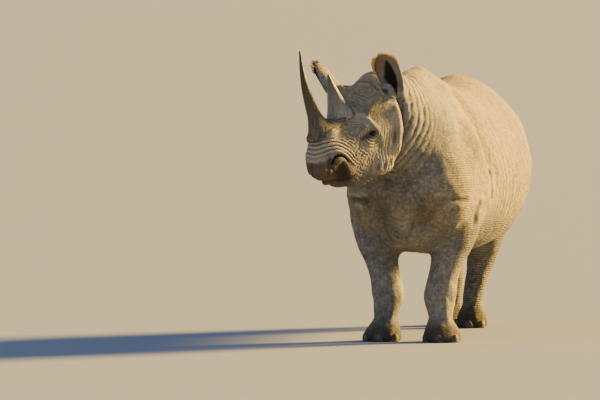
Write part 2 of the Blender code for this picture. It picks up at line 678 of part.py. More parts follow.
def finish(pieces):
    """Names, materials, shading, and the move and scale to life size about the middle of the footprint."""
    home = collection("black_rhinoceros")
    corners = np.array([vertex.co[:] for piece in pieces.values() for vertex in piece.data.vertices])
    low, high = corners.min(axis=0), corners.max(axis=0)
    centring = Matrix.Translation((-(low[0] + high[0]) / 2, -(low[1] + high[1]) / 2, 0.0))
    for name, piece in pieces.items():
        keep_largest(piece)
        piece.data.transform(Matrix.Scale(LIFE_SIZE, 4) @ centring)
        piece.name = piece.data.name = name
        for holder in list(piece.users_collection):
            holder.objects.unlink(piece)
        home.objects.link(piece)
        piece.data.materials.clear()
        piece.data.materials.append(material(look_of(name)))
        piece.data.shade_smooth()
        piece.data.set_sharp_from_angle(angle=math.radians(50))


def look_of(name):
    for start, look in (("horn", HORN), ("eye", EYE), ("nail", NAIL), ("ear", EAR_SKIN)):
        if name.startswith(start):
            return look
    return SKIN


def main():
    clear_scene()
    body = thin_out(flesh())
    pieces = part_flesh(body)
    for spec in (FRONT_HORN, REAR_HORN):
        pieces[spec.name] = horn(spec)
        boolean(pieces["head"], "DIFFERENCE", horn(spec, HORN_GAP))
    for spec in EARS:
        pieces[spec.name] = boolean(ear(spec), "UNION", ear_root(spec))
        boolean(pieces["head"], "DIFFERENCE", ear_seat(spec, pieces[spec.name]))
    for side, side_name in SIDES:
        pieces[f"eye_{side_name}"] = eyeball(side, f"eye_{side_name}")
        boolean(pieces["head"], "DIFFERENCE", eyeball(side, "socket", GAP))
    pieces["tail"] = tail()
    boolean(pieces["trunk"], "DIFFERENCE", tail(GAP))
    for foot_name, foot in feet().items():
        kind, side_name = foot_name.split("_")
        leg_name = f"{'foreleg' if kind == 'fore' else 'hind_leg'}_{side_name}"
        for number, turn in enumerate(NAIL_TURNS, 1):
            name = f"nail_{foot_name}_{number}"
            pieces[name] = nail(foot, turn, name)
            boolean(pieces[leg_name], "DIFFERENCE", nail(foot, turn, "nail_socket", GAP))
    finish(pieces)


main()
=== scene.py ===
"""Dresses the solid model of a life-size black rhinoceros for its portrait.

One seamless skin is drawn over the flesh and folded where the living hide folds. Horns, eyes and
toenails are finer pieces that stand where the solid ones do. Tufts of solid mesh hair grow on the
ears, eyelids and tail. Metres, +Z up; the body faces -Y and its left side is +X.
"""

from __future__ import annotations

import logging
import math
from dataclasses import dataclass, field
from enum import Enum
from typing import NamedTuple

import bmesh
import bpy
import numpy as np
from mathutils import Matrix, Vector, noise
from mathutils.bvhtree import BVHTree


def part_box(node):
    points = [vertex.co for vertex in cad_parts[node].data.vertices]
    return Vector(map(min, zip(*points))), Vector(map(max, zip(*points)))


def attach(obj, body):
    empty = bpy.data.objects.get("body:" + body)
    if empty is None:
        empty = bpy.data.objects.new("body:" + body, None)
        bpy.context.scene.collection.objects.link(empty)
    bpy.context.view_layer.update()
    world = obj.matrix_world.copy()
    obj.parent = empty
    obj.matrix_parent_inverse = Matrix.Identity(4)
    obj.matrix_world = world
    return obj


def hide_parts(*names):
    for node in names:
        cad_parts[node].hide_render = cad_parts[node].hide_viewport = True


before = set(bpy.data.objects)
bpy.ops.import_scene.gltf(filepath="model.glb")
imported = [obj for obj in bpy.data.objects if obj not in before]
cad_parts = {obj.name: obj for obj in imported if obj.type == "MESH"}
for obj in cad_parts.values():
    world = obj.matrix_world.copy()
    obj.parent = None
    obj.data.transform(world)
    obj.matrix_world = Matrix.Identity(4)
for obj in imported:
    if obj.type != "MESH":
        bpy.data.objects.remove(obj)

LOG = logging.getLogger("rhinoceros")
BODY = "root"
BAKE_MAP = "OFBake"
CREASE_PINCH = 0.7  # under 1 makes folds round and the creases between them narrow
SAME_PLACE = 0.00002  # corners of a solid that are closer than this are one


class Side(Enum):
    """The animal's two sides, valued by the way that each lies along X."""

    LEFT = 1
    RIGHT = -1

    @property
    def word(self) -> str:
        """The side's name as the nodes spell it."""
        return self.name.lower()


# Numbers over many points at once


def smooth(low: float, high: float, values: np.ndarray) -> np.ndarray:
    """Rises softly from 0 at `low` to 1 at `high`, or falls where `low` is the larger.

    Args:
        low: The value that gives 0.
        high: The value that gives 1.
        values: The numbers to grade.

    Returns:
        A share from 0 to 1 for each number.
    """
    share = np.clip((values - low) / (high - low), 0.0, 1.0)
    return share * share * (3.0 - 2.0 * share)


def bell(values: np.ndarray, width: float) -> np.ndarray:
    """A bump of height 1 round 0 that has all but gone at twice `width`."""
    return np.exp(-((values / width) ** 2))


def crinkle(turns: np.ndarray) -> np.ndarray:
    """Rounded folds, 1 on their backs, with pinched creases of 0 between them, for this many turns."""
    return np.abs(np.sin(math.pi * turns)) ** CREASE_PINCH


def wander(points: np.ndarray, length: float, seed: float = 0.0) -> np.ndarray:
    """Smooth noise from -1 to 1 over places in space.

    Args:
        points: Rows of x, y and z.
        length: The size of the noise's swells, in metres.
        seed: Moves the pattern.

    Returns:
        One number for each point.
    """
    scaled = points / length + seed
    return np.array([noise.noise(row) for row in scaled.tolist()])


def wander_flat(across: np.ndarray, up: np.ndarray) -> np.ndarray:
    """A cheap wavering from -1 to 1 over flat places."""
    return np.sin(across * 61 + 2.1 * np.sin(up * 47)) * np.sin(up * 83 + 1.7 * np.sin(across * 39))


def beside_route(across: np.ndarray, up: np.ndarray, route: tuple) -> np.ndarray:
    """Distance of flat points from a bent line, below 0 on its right as it runs.

    Args:
        across: First coordinates.
        up: Second coordinates.
        route: The line's corners as (across, up).

    Returns:
        The signed distance of each point from the nearest place on the line.
    """
    best = np.full(len(across), np.inf)
    for (a0, u0), (a1, u1) in zip(route, route[1:]):
        run, rise = a1 - a0, u1 - u0
        share = np.clip(((across - a0) * run + (up - u0) * rise) / (run * run + rise * rise), 0.0, 1.0)
        off_a, off_u = across - a0 - share * run, up - u0 - share * rise
        off = np.hypot(off_a, off_u) * np.where(run * off_u - rise * off_a < 0, -1.0, 1.0)
        best = np.where(np.abs(off) < np.abs(best), off, best)
    return best


def off_route(across: np.ndarray, up: np.ndarray, route: tuple) -> np.ndarray:
    """Distance of flat points from a bent line, whichever side they are on."""
    return np.abs(beside_route(across, up, route))


# Meshes


def places_of(mesh: bpy.types.Mesh) -> np.ndarray:
    """Reads a mesh's points.

    Args:
        mesh: The mesh.

    Returns:
        One row of x, y and z for each point.
    """
    flat = np.empty(len(mesh.vertices) * 3, np.float32)
    mesh.vertices.foreach_get("co", flat)
    return flat.reshape(-1, 3).astype(float)


def set_places(mesh: bpy.types.Mesh, places: np.ndarray) -> None:
    """Moves the mesh's points to these rows."""
    mesh.vertices.foreach_set("co", places.astype(np.float32).ravel())
    mesh.update()


def normals_of(mesh: bpy.types.Mesh) -> np.ndarray:
    """Reads a mesh's normals.

    Args:
        mesh: The mesh.

    Returns:
        One row for each point.
    """
    flat = np.empty(len(mesh.vertices) * 3, np.float32)
    mesh.vertex_normals.foreach_get("vector", flat)
    return flat.reshape(-1, 3).astype(float)


def keep_number(mesh: bpy.types.Mesh, name: str, values: np.ndarray) -> None:
    """Stores a number on each point, for a finish to read by name."""
    layer = mesh.attributes.new(name=name, type="FLOAT", domain="POINT")
    layer.data.foreach_set("value", values.astype(np.float32))


def new_piece(name: str, bm: bmesh.types.BMesh) -> bpy.types.Object:
    """Makes an object of a bmesh and frees it.

    Args:
        name: The object's name.
        bm: The shape, in its final place.

    Returns:
        The object, at the origin.
    """
    mesh = bpy.data.meshes.new(name)
    bm.to_mesh(mesh)
    bm.free()
    piece = bpy.data.objects.new(name, mesh)
    bpy.context.scene.collection.objects.link(piece)
    return piece


def worked(piece: bpy.types.Object, kind: str, **settings: object) -> None:
    """Puts a modifier on a piece and applies it.

    Args:
        piece: The object to change.
        kind: Blender's name for the modifier.
        settings: The modifier's settings.
    """
    modifier = piece.modifiers.new(kind.title(), kind)
    for name, value in settings.items():
        setattr(modifier, name, value)
    graph = bpy.context.evaluated_depsgraph_get()
    mesh = bpy.data.meshes.new_from_object(piece.evaluated_get(graph))
    piece.modifiers.clear()
    old = piece.data
    piece.data = mesh
    bpy.data.meshes.remove(old)
    mesh.name = piece.name


def gap_to(piece: bpy.types.Object, points: np.ndarray, reach: float) -> np.ndarray:
    """How far points stand off a closed piece.

    Args:
        piece: The piece.
        points: Rows of x, y and z.
        reach: The furthest that matters.

    Returns:
        Each point's distance, below 0 inside the piece and `reach` beyond it.
    """
    bm = bmesh.new()
    bm.from_mesh(piece.data)
    tree = BVHTree.FromBMesh(bm)
    bm.free()
    shape = places_of(piece.data)
    close = np.all((points > shape.min(axis=0) - reach) & (points < shape.max(axis=0) + reach), axis=1)
    gaps = np.full(len(points), reach)
    for index in np.flatnonzero(close):
        point = Vector(points[index])
        place, normal, _, off = tree.find_nearest(point, reach)
        if place is not None:
            gaps[index] = math.copysign(off, (point - place).dot(normal))
    return gaps


def node_shape(node: str) -> bmesh.types.BMesh:
    """A merged copy of a solid node.

    Args:
        node: The node's name.

    Returns:
        The copy.
    """
    bm = bmesh.new()
    bm.from_mesh(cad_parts[node].data)
    bmesh.ops.remove_doubles(bm, verts=bm.verts, dist=SAME_PLACE)
    return bm


def add_shape(bm: bmesh.types.BMesh, other: bmesh.types.BMesh) -> None:
    """Adds the whole of another shape to this one.

    Args:
        bm: The shape to add to.
        other: The shape to add, which is freed.
    """
    mesh = bpy.data.meshes.new("passing")
    other.to_mesh(mesh)
    other.free()
    bm.from_mesh(mesh)
    bpy.data.meshes.remove(mesh)


def swell(bm: bmesh.types.BMesh, by: float) -> None:
    """Pushes every point out along its normal.

    Args:
        bm: The shape to change.
        by: How far.
    """
    bm.normal_update()
    for vertex, normal in [(vertex, vertex.normal.copy()) for vertex in bm.verts]:
        vertex.co += normal * by


def egg_shape(place: Matrix, sizes: tuple, segments: int = 32) -> bmesh.types.BMesh:
    """A closed ellipsoid.

    Args:
        place: Where its middle is and how it is turned.
        sizes: Its three half sizes.
        segments: Faces round it.

    Returns:
        The shape.
    """
    bm = bmesh.new()
    bmesh.ops.create_uvsphere(bm, u_segments=segments, v_segments=segments // 2, radius=1.0,
                              matrix=place @ Matrix.Diagonal((*sizes, 1.0)))
    return bm


def linked_points(first: bmesh.types.BMVert) -> list[bmesh.types.BMVert]:
    """Finds the whole connected body that a point belongs to.

    Args:
        first: The point.

    Returns:
        All the body's points.
    """
    found, edge = {first}, [first]
    while edge:
        vertex = edge.pop()
        for link in vertex.link_edges:
            other = link.other_vert(vertex)
            if other not in found:
                found.add(other)
                edge.append(other)
    return list(found)


def drop_crumbs(piece: bpy.types.Object) -> None:
    """Keeps only the largest connected body of a piece.

    Args:
        piece: The piece to change.
    """
    bm = bmesh.new()
    bm.from_mesh(piece.data)
    unseen = set(bm.verts)
    islands = []
    while unseen:
        islands.append(linked_points(next(iter(unseen))))
        unseen.difference_update(islands[-1])
    islands.sort(key=len)
    for island in islands[:-1]:
        bmesh.ops.delete(bm, geom=island, context="VERTS")
    bm.to_mesh(piece.data)
    bm.free()


def settle(piece: bpy.types.Object, slot: str, material: bpy.types.Material, *nodes: str) -> None:
    """Finishes a piece: its material, its body and the nodes that it stands for.

    Args:
        piece: The finished object.
        slot: Not used.
        material: Its finish.
        nodes: The solid nodes that it replaces.
    """
    piece.data.materials.clear()
    piece.data.materials.append(material)
    piece.data.shade_smooth()
    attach(piece, BODY)
    if nodes:
        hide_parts(*nodes)
    LOG.info("%s: %d faces", piece.name, len(piece.data.polygons))


# Materials


class Num:
    """A number that varies over a surface; reckoning with it adds Math nodes."""

    def __init__(self, graph: Graph, socket: bpy.types.NodeSocket) -> None:
        """Wraps a socket of a graph."""
        self.graph = graph
        self.socket = socket

    def _math(self, operation: str, *values: object) -> Num:
        """Adds a Math node.

        Args:
            operation: The node's operation.
            values: Its inputs, as numbers or other Nums.

        Returns:
            The node's output.
        """
        return self.graph.number("ShaderNodeMath", {"operation": operation}, dict(enumerate(values)))

    def __add__(self, other: object) -> Num:
        """Self plus other."""
        return self._math("ADD", self, other)

    def __radd__(self, other: object) -> Num:
        """Other plus self."""
        return self._math("ADD", other, self)

    def __sub__(self, other: object) -> Num:
        """Self less other."""
        return self._math("SUBTRACT", self, other)

    def __rsub__(self, other: object) -> Num:
        """Other less self."""
        return self._math("SUBTRACT", other, self)

    def __mul__(self, other: object) -> Num:
        """Self times other."""
        return self._math("MULTIPLY", self, other)

    def __rmul__(self, other: object) -> Num:
        """Other times self."""
        return self._math("MULTIPLY", other, self)

    def grade(self, low: float, high: float) -> Num:
        """A soft share of self.

        Args:
            low: The value that gives 0.
            high: The value that gives 1, which may be the smaller.

        Returns:
            The share.
        """
        flipped = low > high
        share = self.graph.number(
            "ShaderNodeMapRange", {"interpolation_type": "SMOOTHSTEP"},
            {"Value": self, "From Min": min(low, high), "From Max": max(low, high)})
        return 1.0 - share if flipped else share


class Graph:
    """The node tree of one material."""

    def __init__(self, name: str) -> None:
        """Starts a material.

        Args:
            name: The material's name.
        """
        self.material = bpy.data.materials.new(name)
        self.material.use_nodes = True
        self.tree = self.material.node_tree
        self.shader = self.tree.nodes["Principled BSDF"]
        self.object_place = self.node("ShaderNodeTexCoord").outputs["Object"]

    def feed(self, socket: bpy.types.NodeSocket, value: object) -> None:
        """Links a value into a socket, or sets the socket to a plain one.

        Args:
            socket: The socket to feed.
            value: A Num, another socket or a plain value.
        """
        if isinstance(value, Num):
            self.tree.links.new(value.socket, socket)
        elif isinstance(value, bpy.types.NodeSocket):
            self.tree.links.new(value, socket)
        else:
            socket.default_value = value

    def node(self, kind: str, settings: dict | None = None, inputs: dict | None = None) -> bpy.types.Node:
        """Adds a node.

        Args:
            kind: The node's type.
            settings: Its own settings, set first.
            inputs: Socket names or numbers, with their values or links.

        Returns:
            The node.
        """
        made = self.tree.nodes.new(kind)
        for name, value in (settings or {}).items():
            setattr(made, name, value)
        for key, value in (inputs or {}).items():
            self.feed(made.inputs[key], value)
        return made

    def number(self, kind: str, settings: dict | None = None, inputs: dict | None = None,
               output: object = 0) -> Num:
        """Adds a node and returns one of its outputs as a number."""
        return Num(self, self.node(kind, settings, inputs).outputs[output])

    def painted(self, name: str) -> Num:
        """A number that the mesh keeps on its points."""
        return self.number("ShaderNodeAttribute", {"attribute_name": name}, output="Fac")

    def stretched(self, scale: tuple) -> bpy.types.NodeSocket:
        """The object's coordinates, stretched along each axis."""
        return self.node("ShaderNodeMapping", None,
                         {"Vector": self.object_place, "Scale": scale}).outputs["Vector"]

    def swells(self, per_metre: float, detail: float = 3.0, vector: object = None,
               roughness: float = 0.5) -> Num:
        """Noise from 0 to 1.

        Args:
            per_metre: How many swells lie in a metre.
            detail: How many finer layers it has.
            vector: Where it is read, if not at the object's own coordinates.
            roughness: How strong the finer layers are.

        Returns:
            The noise.
        """
        return self.number("ShaderNodeTexNoise", None,
                           {"Vector": vector or self.object_place, "Scale": per_metre, "Detail": detail,
                            "Roughness": roughness})

    def bent_place(self, by: float, per_metre: float) -> bpy.types.NodeSocket:
        """The object's coordinates, shaken about.

        Args:
            by: The most that a place is moved, in metres.
            per_metre: How many swells of the shaking lie in a metre.

        Returns:
            The moved coordinates.
        """
        noise_colour = self.node("ShaderNodeTexNoise", None, {"Vector": self.object_place, "Scale": per_metre,
                                                              "Detail": 2.0}).outputs["Color"]
        around = self.node("ShaderNodeVectorMath", {"operation": "SUBTRACT"},
                           {0: noise_colour, 1: (0.5, 0.5, 0.5)}).outputs[0]
        scaled = self.node("ShaderNodeVectorMath", {"operation": "SCALE"}, {0: around, "Scale": by * 2}).outputs[0]
        return self.node("ShaderNodeVectorMath", {"operation": "ADD"},
                         {0: self.object_place, 1: scaled}).outputs[0]

    def cells(self, per_metre: float, feature: str, vector: object = None) -> Num:
        """Distance within a pattern of cells, so many to the metre."""
        return self.number("ShaderNodeTexVoronoi", {"feature": feature},
                           {"Vector": vector or self.object_place, "Scale": per_metre}, "Distance")

    def axis(self, letter: str) -> Num:
        """One of the object's own coordinates."""
        return self.number("ShaderNodeSeparateXYZ", None, {"Vector": self.object_place}, letter)

    def facing(self, letter: str) -> Num:
        """One coordinate of the surface's own normal."""
        normal = self.node("ShaderNodeNewGeometry").outputs["Normal"]
        return self.number("ShaderNodeSeparateXYZ", None, {"Vector": normal}, letter)

    def mixed(self, share: object, first: object, second: object) -> bpy.types.NodeSocket:
        """A colour between two, nearer the second as `share` rises to 1."""
        return self.node("ShaderNodeMix", {"data_type": "RGBA", "clamp_factor": True},
                         {0: share, 6: first, 7: second}).outputs[2]

    def layered(self, colour: object, *layers: tuple) -> object:
        """Lays colours over one another.

        Args:
            colour: The lowest colour.
            layers: The others from the lowest up, each as (share, colour).

        Returns:
            The colour that shows.
        """
        for share, over in layers:
            colour = self.mixed(share, colour, over)
        return colour

    def finish(self, colour: object, roughness: object, height: Num | None = None,
               **constants: float) -> bpy.types.Material:
        """Connects the surface.

        Args:
            colour: Its colour.
            roughness: Its roughness.
            height: Its fine relief, in metres.
            constants: Other numbers of the shader, the same all over.

        Returns:
            The material.
        """
        self.feed(self.shader.inputs["Base Color"], colour)
        self.feed(self.shader.inputs["Roughness"], roughness)
        for name, value in constants.items():
            self.shader.inputs[name.replace("_", " ")].default_value = value
        if height is not None:
            bump = self.node("ShaderNodeBump", None, {"Strength": 1.0, "Distance": 1.0, "Height": height})
            self.feed(self.shader.inputs["Normal"], bump.outputs["Normal"])
        return self.material


@dataclass(frozen=True)
class HideFinish:
    """Thick, bare hide, dusted with earth: pebbled all over and finely ribbed on the legs and chest, with painted
    shade in its creases, cracks and hollows, and painted highlight and painted sunlight on its ridges, cheeks and
    the patch behind the front horn.
    """

    shade: tuple = (0.083, 0.079, 0.079, 1)
    middle: tuple = (0.164, 0.156, 0.152, 1)
    light: tuple = (0.246, 0.231, 0.216, 1)
    # pale: for mottling, and for painted highlight with dusting on raised ridges
    pale: tuple = (0.480, 0.415, 0.330, 1)
    # tan for dusting, and for the painted sunlight on the cheeks and behind the front horn
    dust: tuple = (0.36, 0.250, 0.085, 1)
    # painted skylight: the bluish tint put on hide that faces forward
    painted_skylight: tuple = (0.160, 0.170, 0.192, 1)
    inner: tuple = (0.235, 0.243, 0.280, 1)
    lobe: tuple = (0.190, 0.135, 0.100, 1)
    # crease: near-black painted shade for creases, folds, cracks and rib troughs
    crease: tuple = (0.030, 0.024, 0.021, 1)
    lip: tuple = (0.092, 0.056, 0.040, 1)
    # hollow: near-black painted shade for the nostril slit and the ears' hollows, the painted shadow over stained
    # hide under the nostril, and the ears' dark rims
    hollow: tuple = (0.016, 0.011, 0.009, 1)
    # mud: dark mud, which also stands for the painted shadow at the bottom of the feet
    mud: tuple = (0.040, 0.030, 0.024, 1)

    def material(self) -> bpy.types.Material:
        """Builds the hide's material, which reads the numbers that the skin keeps.

        Returns:
            The material.
        """
        g = Graph("hide")
        # fold marks where painted shade goes into creases, grooves and hollows, with the dark lid rims
        fold = g.painted("fold")
        ribbed = g.painted("ribbed")
        dusty = g.painted("dusty")

        patches = g.swells(2.6, 4.0)
        blotches = g.swells(14.0, 4.0, roughness=0.6)
        specks = g.swells(160.0, 2.0)
        mottles = g.swells(52.0, 3.0, g.bent_place(0.02, 11.0), 0.6)
        bent = g.bent_place(0.010, 45.0)
        cracks = g.cells(104.0, "DISTANCE_TO_EDGE", bent)
        large_cracks = g.cells(38.0, "DISTANCE_TO_EDGE", bent)
        pebbles = g.cells(210.0, "F1", bent)
        drift = g.swells(9.0, 2.0) - 0.5

        rib_turns = (g.axis("Z") + drift * 0.035) * 78.0
        ribs = g.number("ShaderNodeMath", {"operation": "SINE"}, {0: rib_turns * (2 * math.pi)}) * 0.5 + 0.5

        worn = blotches.grade(0.30, 0.62)
        mud_and_shadow_level = g.axis("Z") + drift * 0.05

        colour = g.layered(
            self.middle,
            (patches.grade(0.36, 0.66), self.light),
            (blotches.grade(0.52, 0.74) * 0.75, self.shade),
            # Painted skylight: hide that faces forward is tinted bluish
            (g.facing("Y").grade(0.1, -0.9) * blotches.grade(0.62, 0.36) * 0.35, self.painted_skylight),
            # Dusting, and the painted sunlight on the cheeks and behind the front horn
            (dusty * (0.45 + patches.grade(0.30, 0.60) * 0.5), self.dust),
            (specks.grade(0.45, 0.80) * 0.35, self.shade),
            (mottles.grade(0.50, 0.64) * 0.42, self.shade),
            (mottles.grade(0.48, 0.36) * 0.30, self.pale),
            # Painted highlight with dusting: raised relief, and the sunlit ridges, rims and cheeks that the crest
            # mark holds, go pale
            (g.painted("crest") * (0.35 + patches * 0.5), self.pale),
            # Painted shade: cracks and rib troughs darken towards the crease colour
            (cracks.grade(0.10, 0.0) * worn * 0.34, self.crease),
            (large_cracks.grade(0.055, 0.0) * worn * 0.38, self.crease),
            (pebbles.grade(0.35, 0.75) * 0.22, self.shade),
            (ribbed * (1.0 - ribs).grade(0.45, 1.0) * 0.6, self.crease),
            (g.painted("lip") * (0.55 + blotches * 0.6), self.lip),
            # Painted shade in the creases, grooves and hollows that the fold mark holds
            (fold * 0.85, self.crease),
            # Painted shadow with mud: the hide darkens towards the bottom of the feet
            (mud_and_shadow_level.grade(0.17, 0.05) * 0.92, self.mud),
            (g.painted("inner") * 0.85, g.mixed(blotches, self.inner, self.middle)),
            (g.painted("lobe") * 0.9, self.lobe),
            # Near-black painted shade and shadow: nostril slit, ears' hollows, the stained patch under the nostril
            (g.painted("hollow"), self.hollow))

        height = cracks.grade(0.0, 0.16) * 0.0009 + large_cracks.grade(0.0, 0.09) * worn * 0.0012
        height = height + blotches * 0.006 + mottles * 0.0045 + specks * 0.0014 - pebbles * 0.0007
        height = height + ribs * ribbed * 0.0032
        rough = 0.74 + blotches * 0.2 + g.painted("hollow") * 0.16 - g.painted("lip") * 0.08
        return g.finish(colour, rough, height, Specular_IOR_Level=0.3)


@dataclass(frozen=True)
class HornFinish:
    """Horn: dark, polished and finely grained towards the tip, frayed and paler at the base."""

    tip: tuple
    middle: tuple
    pale: tuple
    tan: tuple = (0.42, 0.27, 0.15, 1)
    groove: tuple = (0.026, 0.019, 0.015, 1)

    def material(self, name: str) -> bpy.types.Material:
        """Builds the material of one horn, which reads how far up it each point lies.

        Args:
            name: The material's name.

        Returns:
            The material.
        """
        g = Graph(name)
        up = g.painted("up_horn")
        fibres = g.swells(1.0, 3.0, g.stretched((170.0, 170.0, 9.0)), 0.6)
        strands = g.swells(1.0, 2.0, g.stretched((420.0, 420.0, 14.0)))
        rings = g.swells(1.0, 3.0, g.stretched((16.0, 16.0, 75.0)))
        scuffs = g.swells(26.0, 4.0)
        frayed = up.grade(0.42, 0.02)
        colour = g.layered(
            self.middle,
            (up.grade(0.18, 0.85), self.tip),
            (frayed * fibres.grade(0.40, 0.62) * 0.75, self.pale),
            (scuffs.grade(0.55, 0.75) * 0.35, self.pale),
            (fibres.grade(0.48, 0.30) * 0.8, self.groove),
            (rings.grade(0.56, 0.70) * frayed * 0.6, self.groove),
            (g.painted("flare") * (0.5 + scuffs * 0.7), self.tan))
        height = fibres * (0.0010 + frayed * 0.0030) + strands * 0.0006 + rings * frayed * 0.003
        return g.finish(colour, 0.42 + frayed * 0.38 + scuffs * 0.1, height, Specular_IOR_Level=0.5)


@dataclass(frozen=True)
class EyeFinish:
    """A wet, near-black brown eye."""

    pupil: tuple = (0.002, 0.0015, 0.0015, 1)
    iris: tuple = (0.009, 0.005, 0.003, 1)
    rim: tuple = (0.014, 0.009, 0.007, 1)

    def material(self) -> bpy.types.Material:
        """Builds the eye's material, which reads how far each point lies from the eye's axis.

        Returns:
            The material.
        """
        g = Graph("eye")
        off_axis = g.painted("off_axis")
        streaks = g.swells(420.0, 2.0)
        colour = g.layered(
            self.pupil,
            (off_axis.grade(0.28, 0.34), self.iris),
            (streaks.grade(0.45, 0.70) * off_axis.grade(0.30, 0.45) * 0.6, self.rim),
            (off_axis.grade(0.62, 0.74), self.rim))
        return g.finish(colour, 0.10 + streaks * 0.05, streaks * 0.00004, Specular_IOR_Level=0.12,
                        Coat_Weight=0.22, Coat_Roughness=0.03)


@dataclass(frozen=True)
class NailFinish:
    """A thick, worn toenail with dried mud on it."""

    clean: tuple = (0.052, 0.043, 0.037, 1)
    worn: tuple = (0.105, 0.088, 0.074, 1)
    mud: tuple = (0.034, 0.026, 0.021, 1)

    def material(self) -> bpy.types.Material:
        """Builds the nails' material.

        Returns:
            The material.
        """
        g = Graph("nail")
        grain = g.swells(1.0, 3.0, g.stretched((130.0, 130.0, 14.0)))
        rings = g.swells(1.0, 2.0, g.stretched((12.0, 12.0, 150.0)))
        caked = g.swells(40.0, 4.0)
        colour = g.layered(
            self.clean,
            (grain.grade(0.40, 0.65), self.worn),
            (rings.grade(0.50, 0.68) * 0.5, self.mud),
            (caked.grade(0.42, 0.60), self.mud))
        return g.finish(colour, 0.5 + caked * 0.4, grain * 0.0008 + rings * 0.0009 + caked * 0.0012)


@dataclass(frozen=True)
class HairFinish:
    """Coarse hair, darker at the root than at the tip."""

    root: tuple
    tip: tuple

    def material(self, name: str) -> bpy.types.Material:
        """Builds the material of one growth of hair, which reads how far along each point lies.

        Args:
            name: The material's name.

        Returns:
            The material.
        """
        g = Graph(name)
        strands = g.swells(500.0, 2.0)
        colour = g.mixed(g.painted("along") * 0.8 + strands * 0.3, self.root, self.tip)
        return g.finish(colour, 0.5 + strands * 0.2, strands * 0.0002, Specular_IOR_Level=0.35)


@dataclass(frozen=True)
class FloorFinish:
    """A plain pale studio floor."""

    colour: tuple = (0.20, 0.225, 0.32, 1)

    def material(self) -> bpy.types.Material:
        """Builds the floor's material."""
        return Graph("floor").finish(self.colour, 0.9, Specular_IOR_Level=0.1)


# The head's own measure


@dataclass
class HeadPlace:
    """The head's frame: left, back and up from the point between the eyes.

    Attributes:
        droop: How far the nose hangs below level, in radians.
        matrix: From the head's frame to the model's.
        inverse: The way back, as an array.
    """

    droop: float = math.radians(28)
    matrix: Matrix = field(init=False)
    inverse: np.ndarray = field(init=False)

    def __post_init__(self) -> None:
        """Works the frame out from the two eyes."""
        left, right = (self.middle_of(f"eye_{side.word}") for side in Side)
        sideways = (left - right).normalized()
        level_back = Vector((0, 0, 1)).cross(sideways)
        back = level_back * math.cos(self.droop) + Vector((0, 0, math.sin(self.droop)))
        up = sideways.cross(back)
        turned = Matrix((sideways, back, up)).transposed().to_4x4()
        self.matrix = Matrix.Translation((left + right) / 2) @ turned
        self.inverse = np.array(self.matrix.inverted())

    @staticmethod
    def middle_of(node: str) -> Vector:
        """The middle of a node's box."""
        low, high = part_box(node)
        return (Vector(low) + Vector(high)) / 2

    def seen_from(self, points: np.ndarray) -> tuple[np.ndarray, np.ndarray, np.ndarray]:
        """The left, back and up coordinates of points in space.

        Args:
            points: Rows of x, y and z.

        Returns:
            Three arrays.
        """
        local = points @ self.inverse[:3, :3].T + self.inverse[:3, 3]
        return local[:, 0], local[:, 1], local[:, 2]

    def at(self, left: float, back: float, up: float) -> Vector:
        """The place in space of a place in the head."""
        return self.matrix @ Vector((left, back, up))


@dataclass
class Lens:
    """Swells the space round a place, so that an even remesh comes out finer there.

    Attributes:
        middle: Where the lens is.
        inner: The radius inside which everything is magnified.
        gain: How much.
        reach: Where the lens ends; beyond it nothing moves. None pushes all that lies outside out.
    """

    middle: Vector
    inner: float
    gain: float
    reach: float | None = None

    def _profile(self) -> tuple[tuple, tuple]:
        """How radii are moved.

        Returns:
            Radii before the lens, and the radii that they become.
        """
        if self.reach is None:
            far = 100.0
            return (0.0, self.inner, far), (0.0, self.inner * self.gain, far + self.inner * (self.gain - 1))
        return (0.0, self.inner, self.reach, 100.0), (0.0, self.inner * self.gain, self.reach, 100.0)

    def bend(self, points: np.ndarray, undo: bool = False) -> np.ndarray:
        """Moves points through the lens.

        Args:
            points: Rows of x, y and z.
            undo: Moves them back instead.

        Returns:
            The moved rows.
        """
        before, after = self._profile()
        if undo:
            before, after = after, before
        middle = np.array(self.middle)
        away = points - middle
        radius = np.linalg.norm(away, axis=1)
        radius = np.maximum(radius, 1e-9)
        return middle + away * (np.interp(radius, before, after) / radius)[:, None]


# Ears


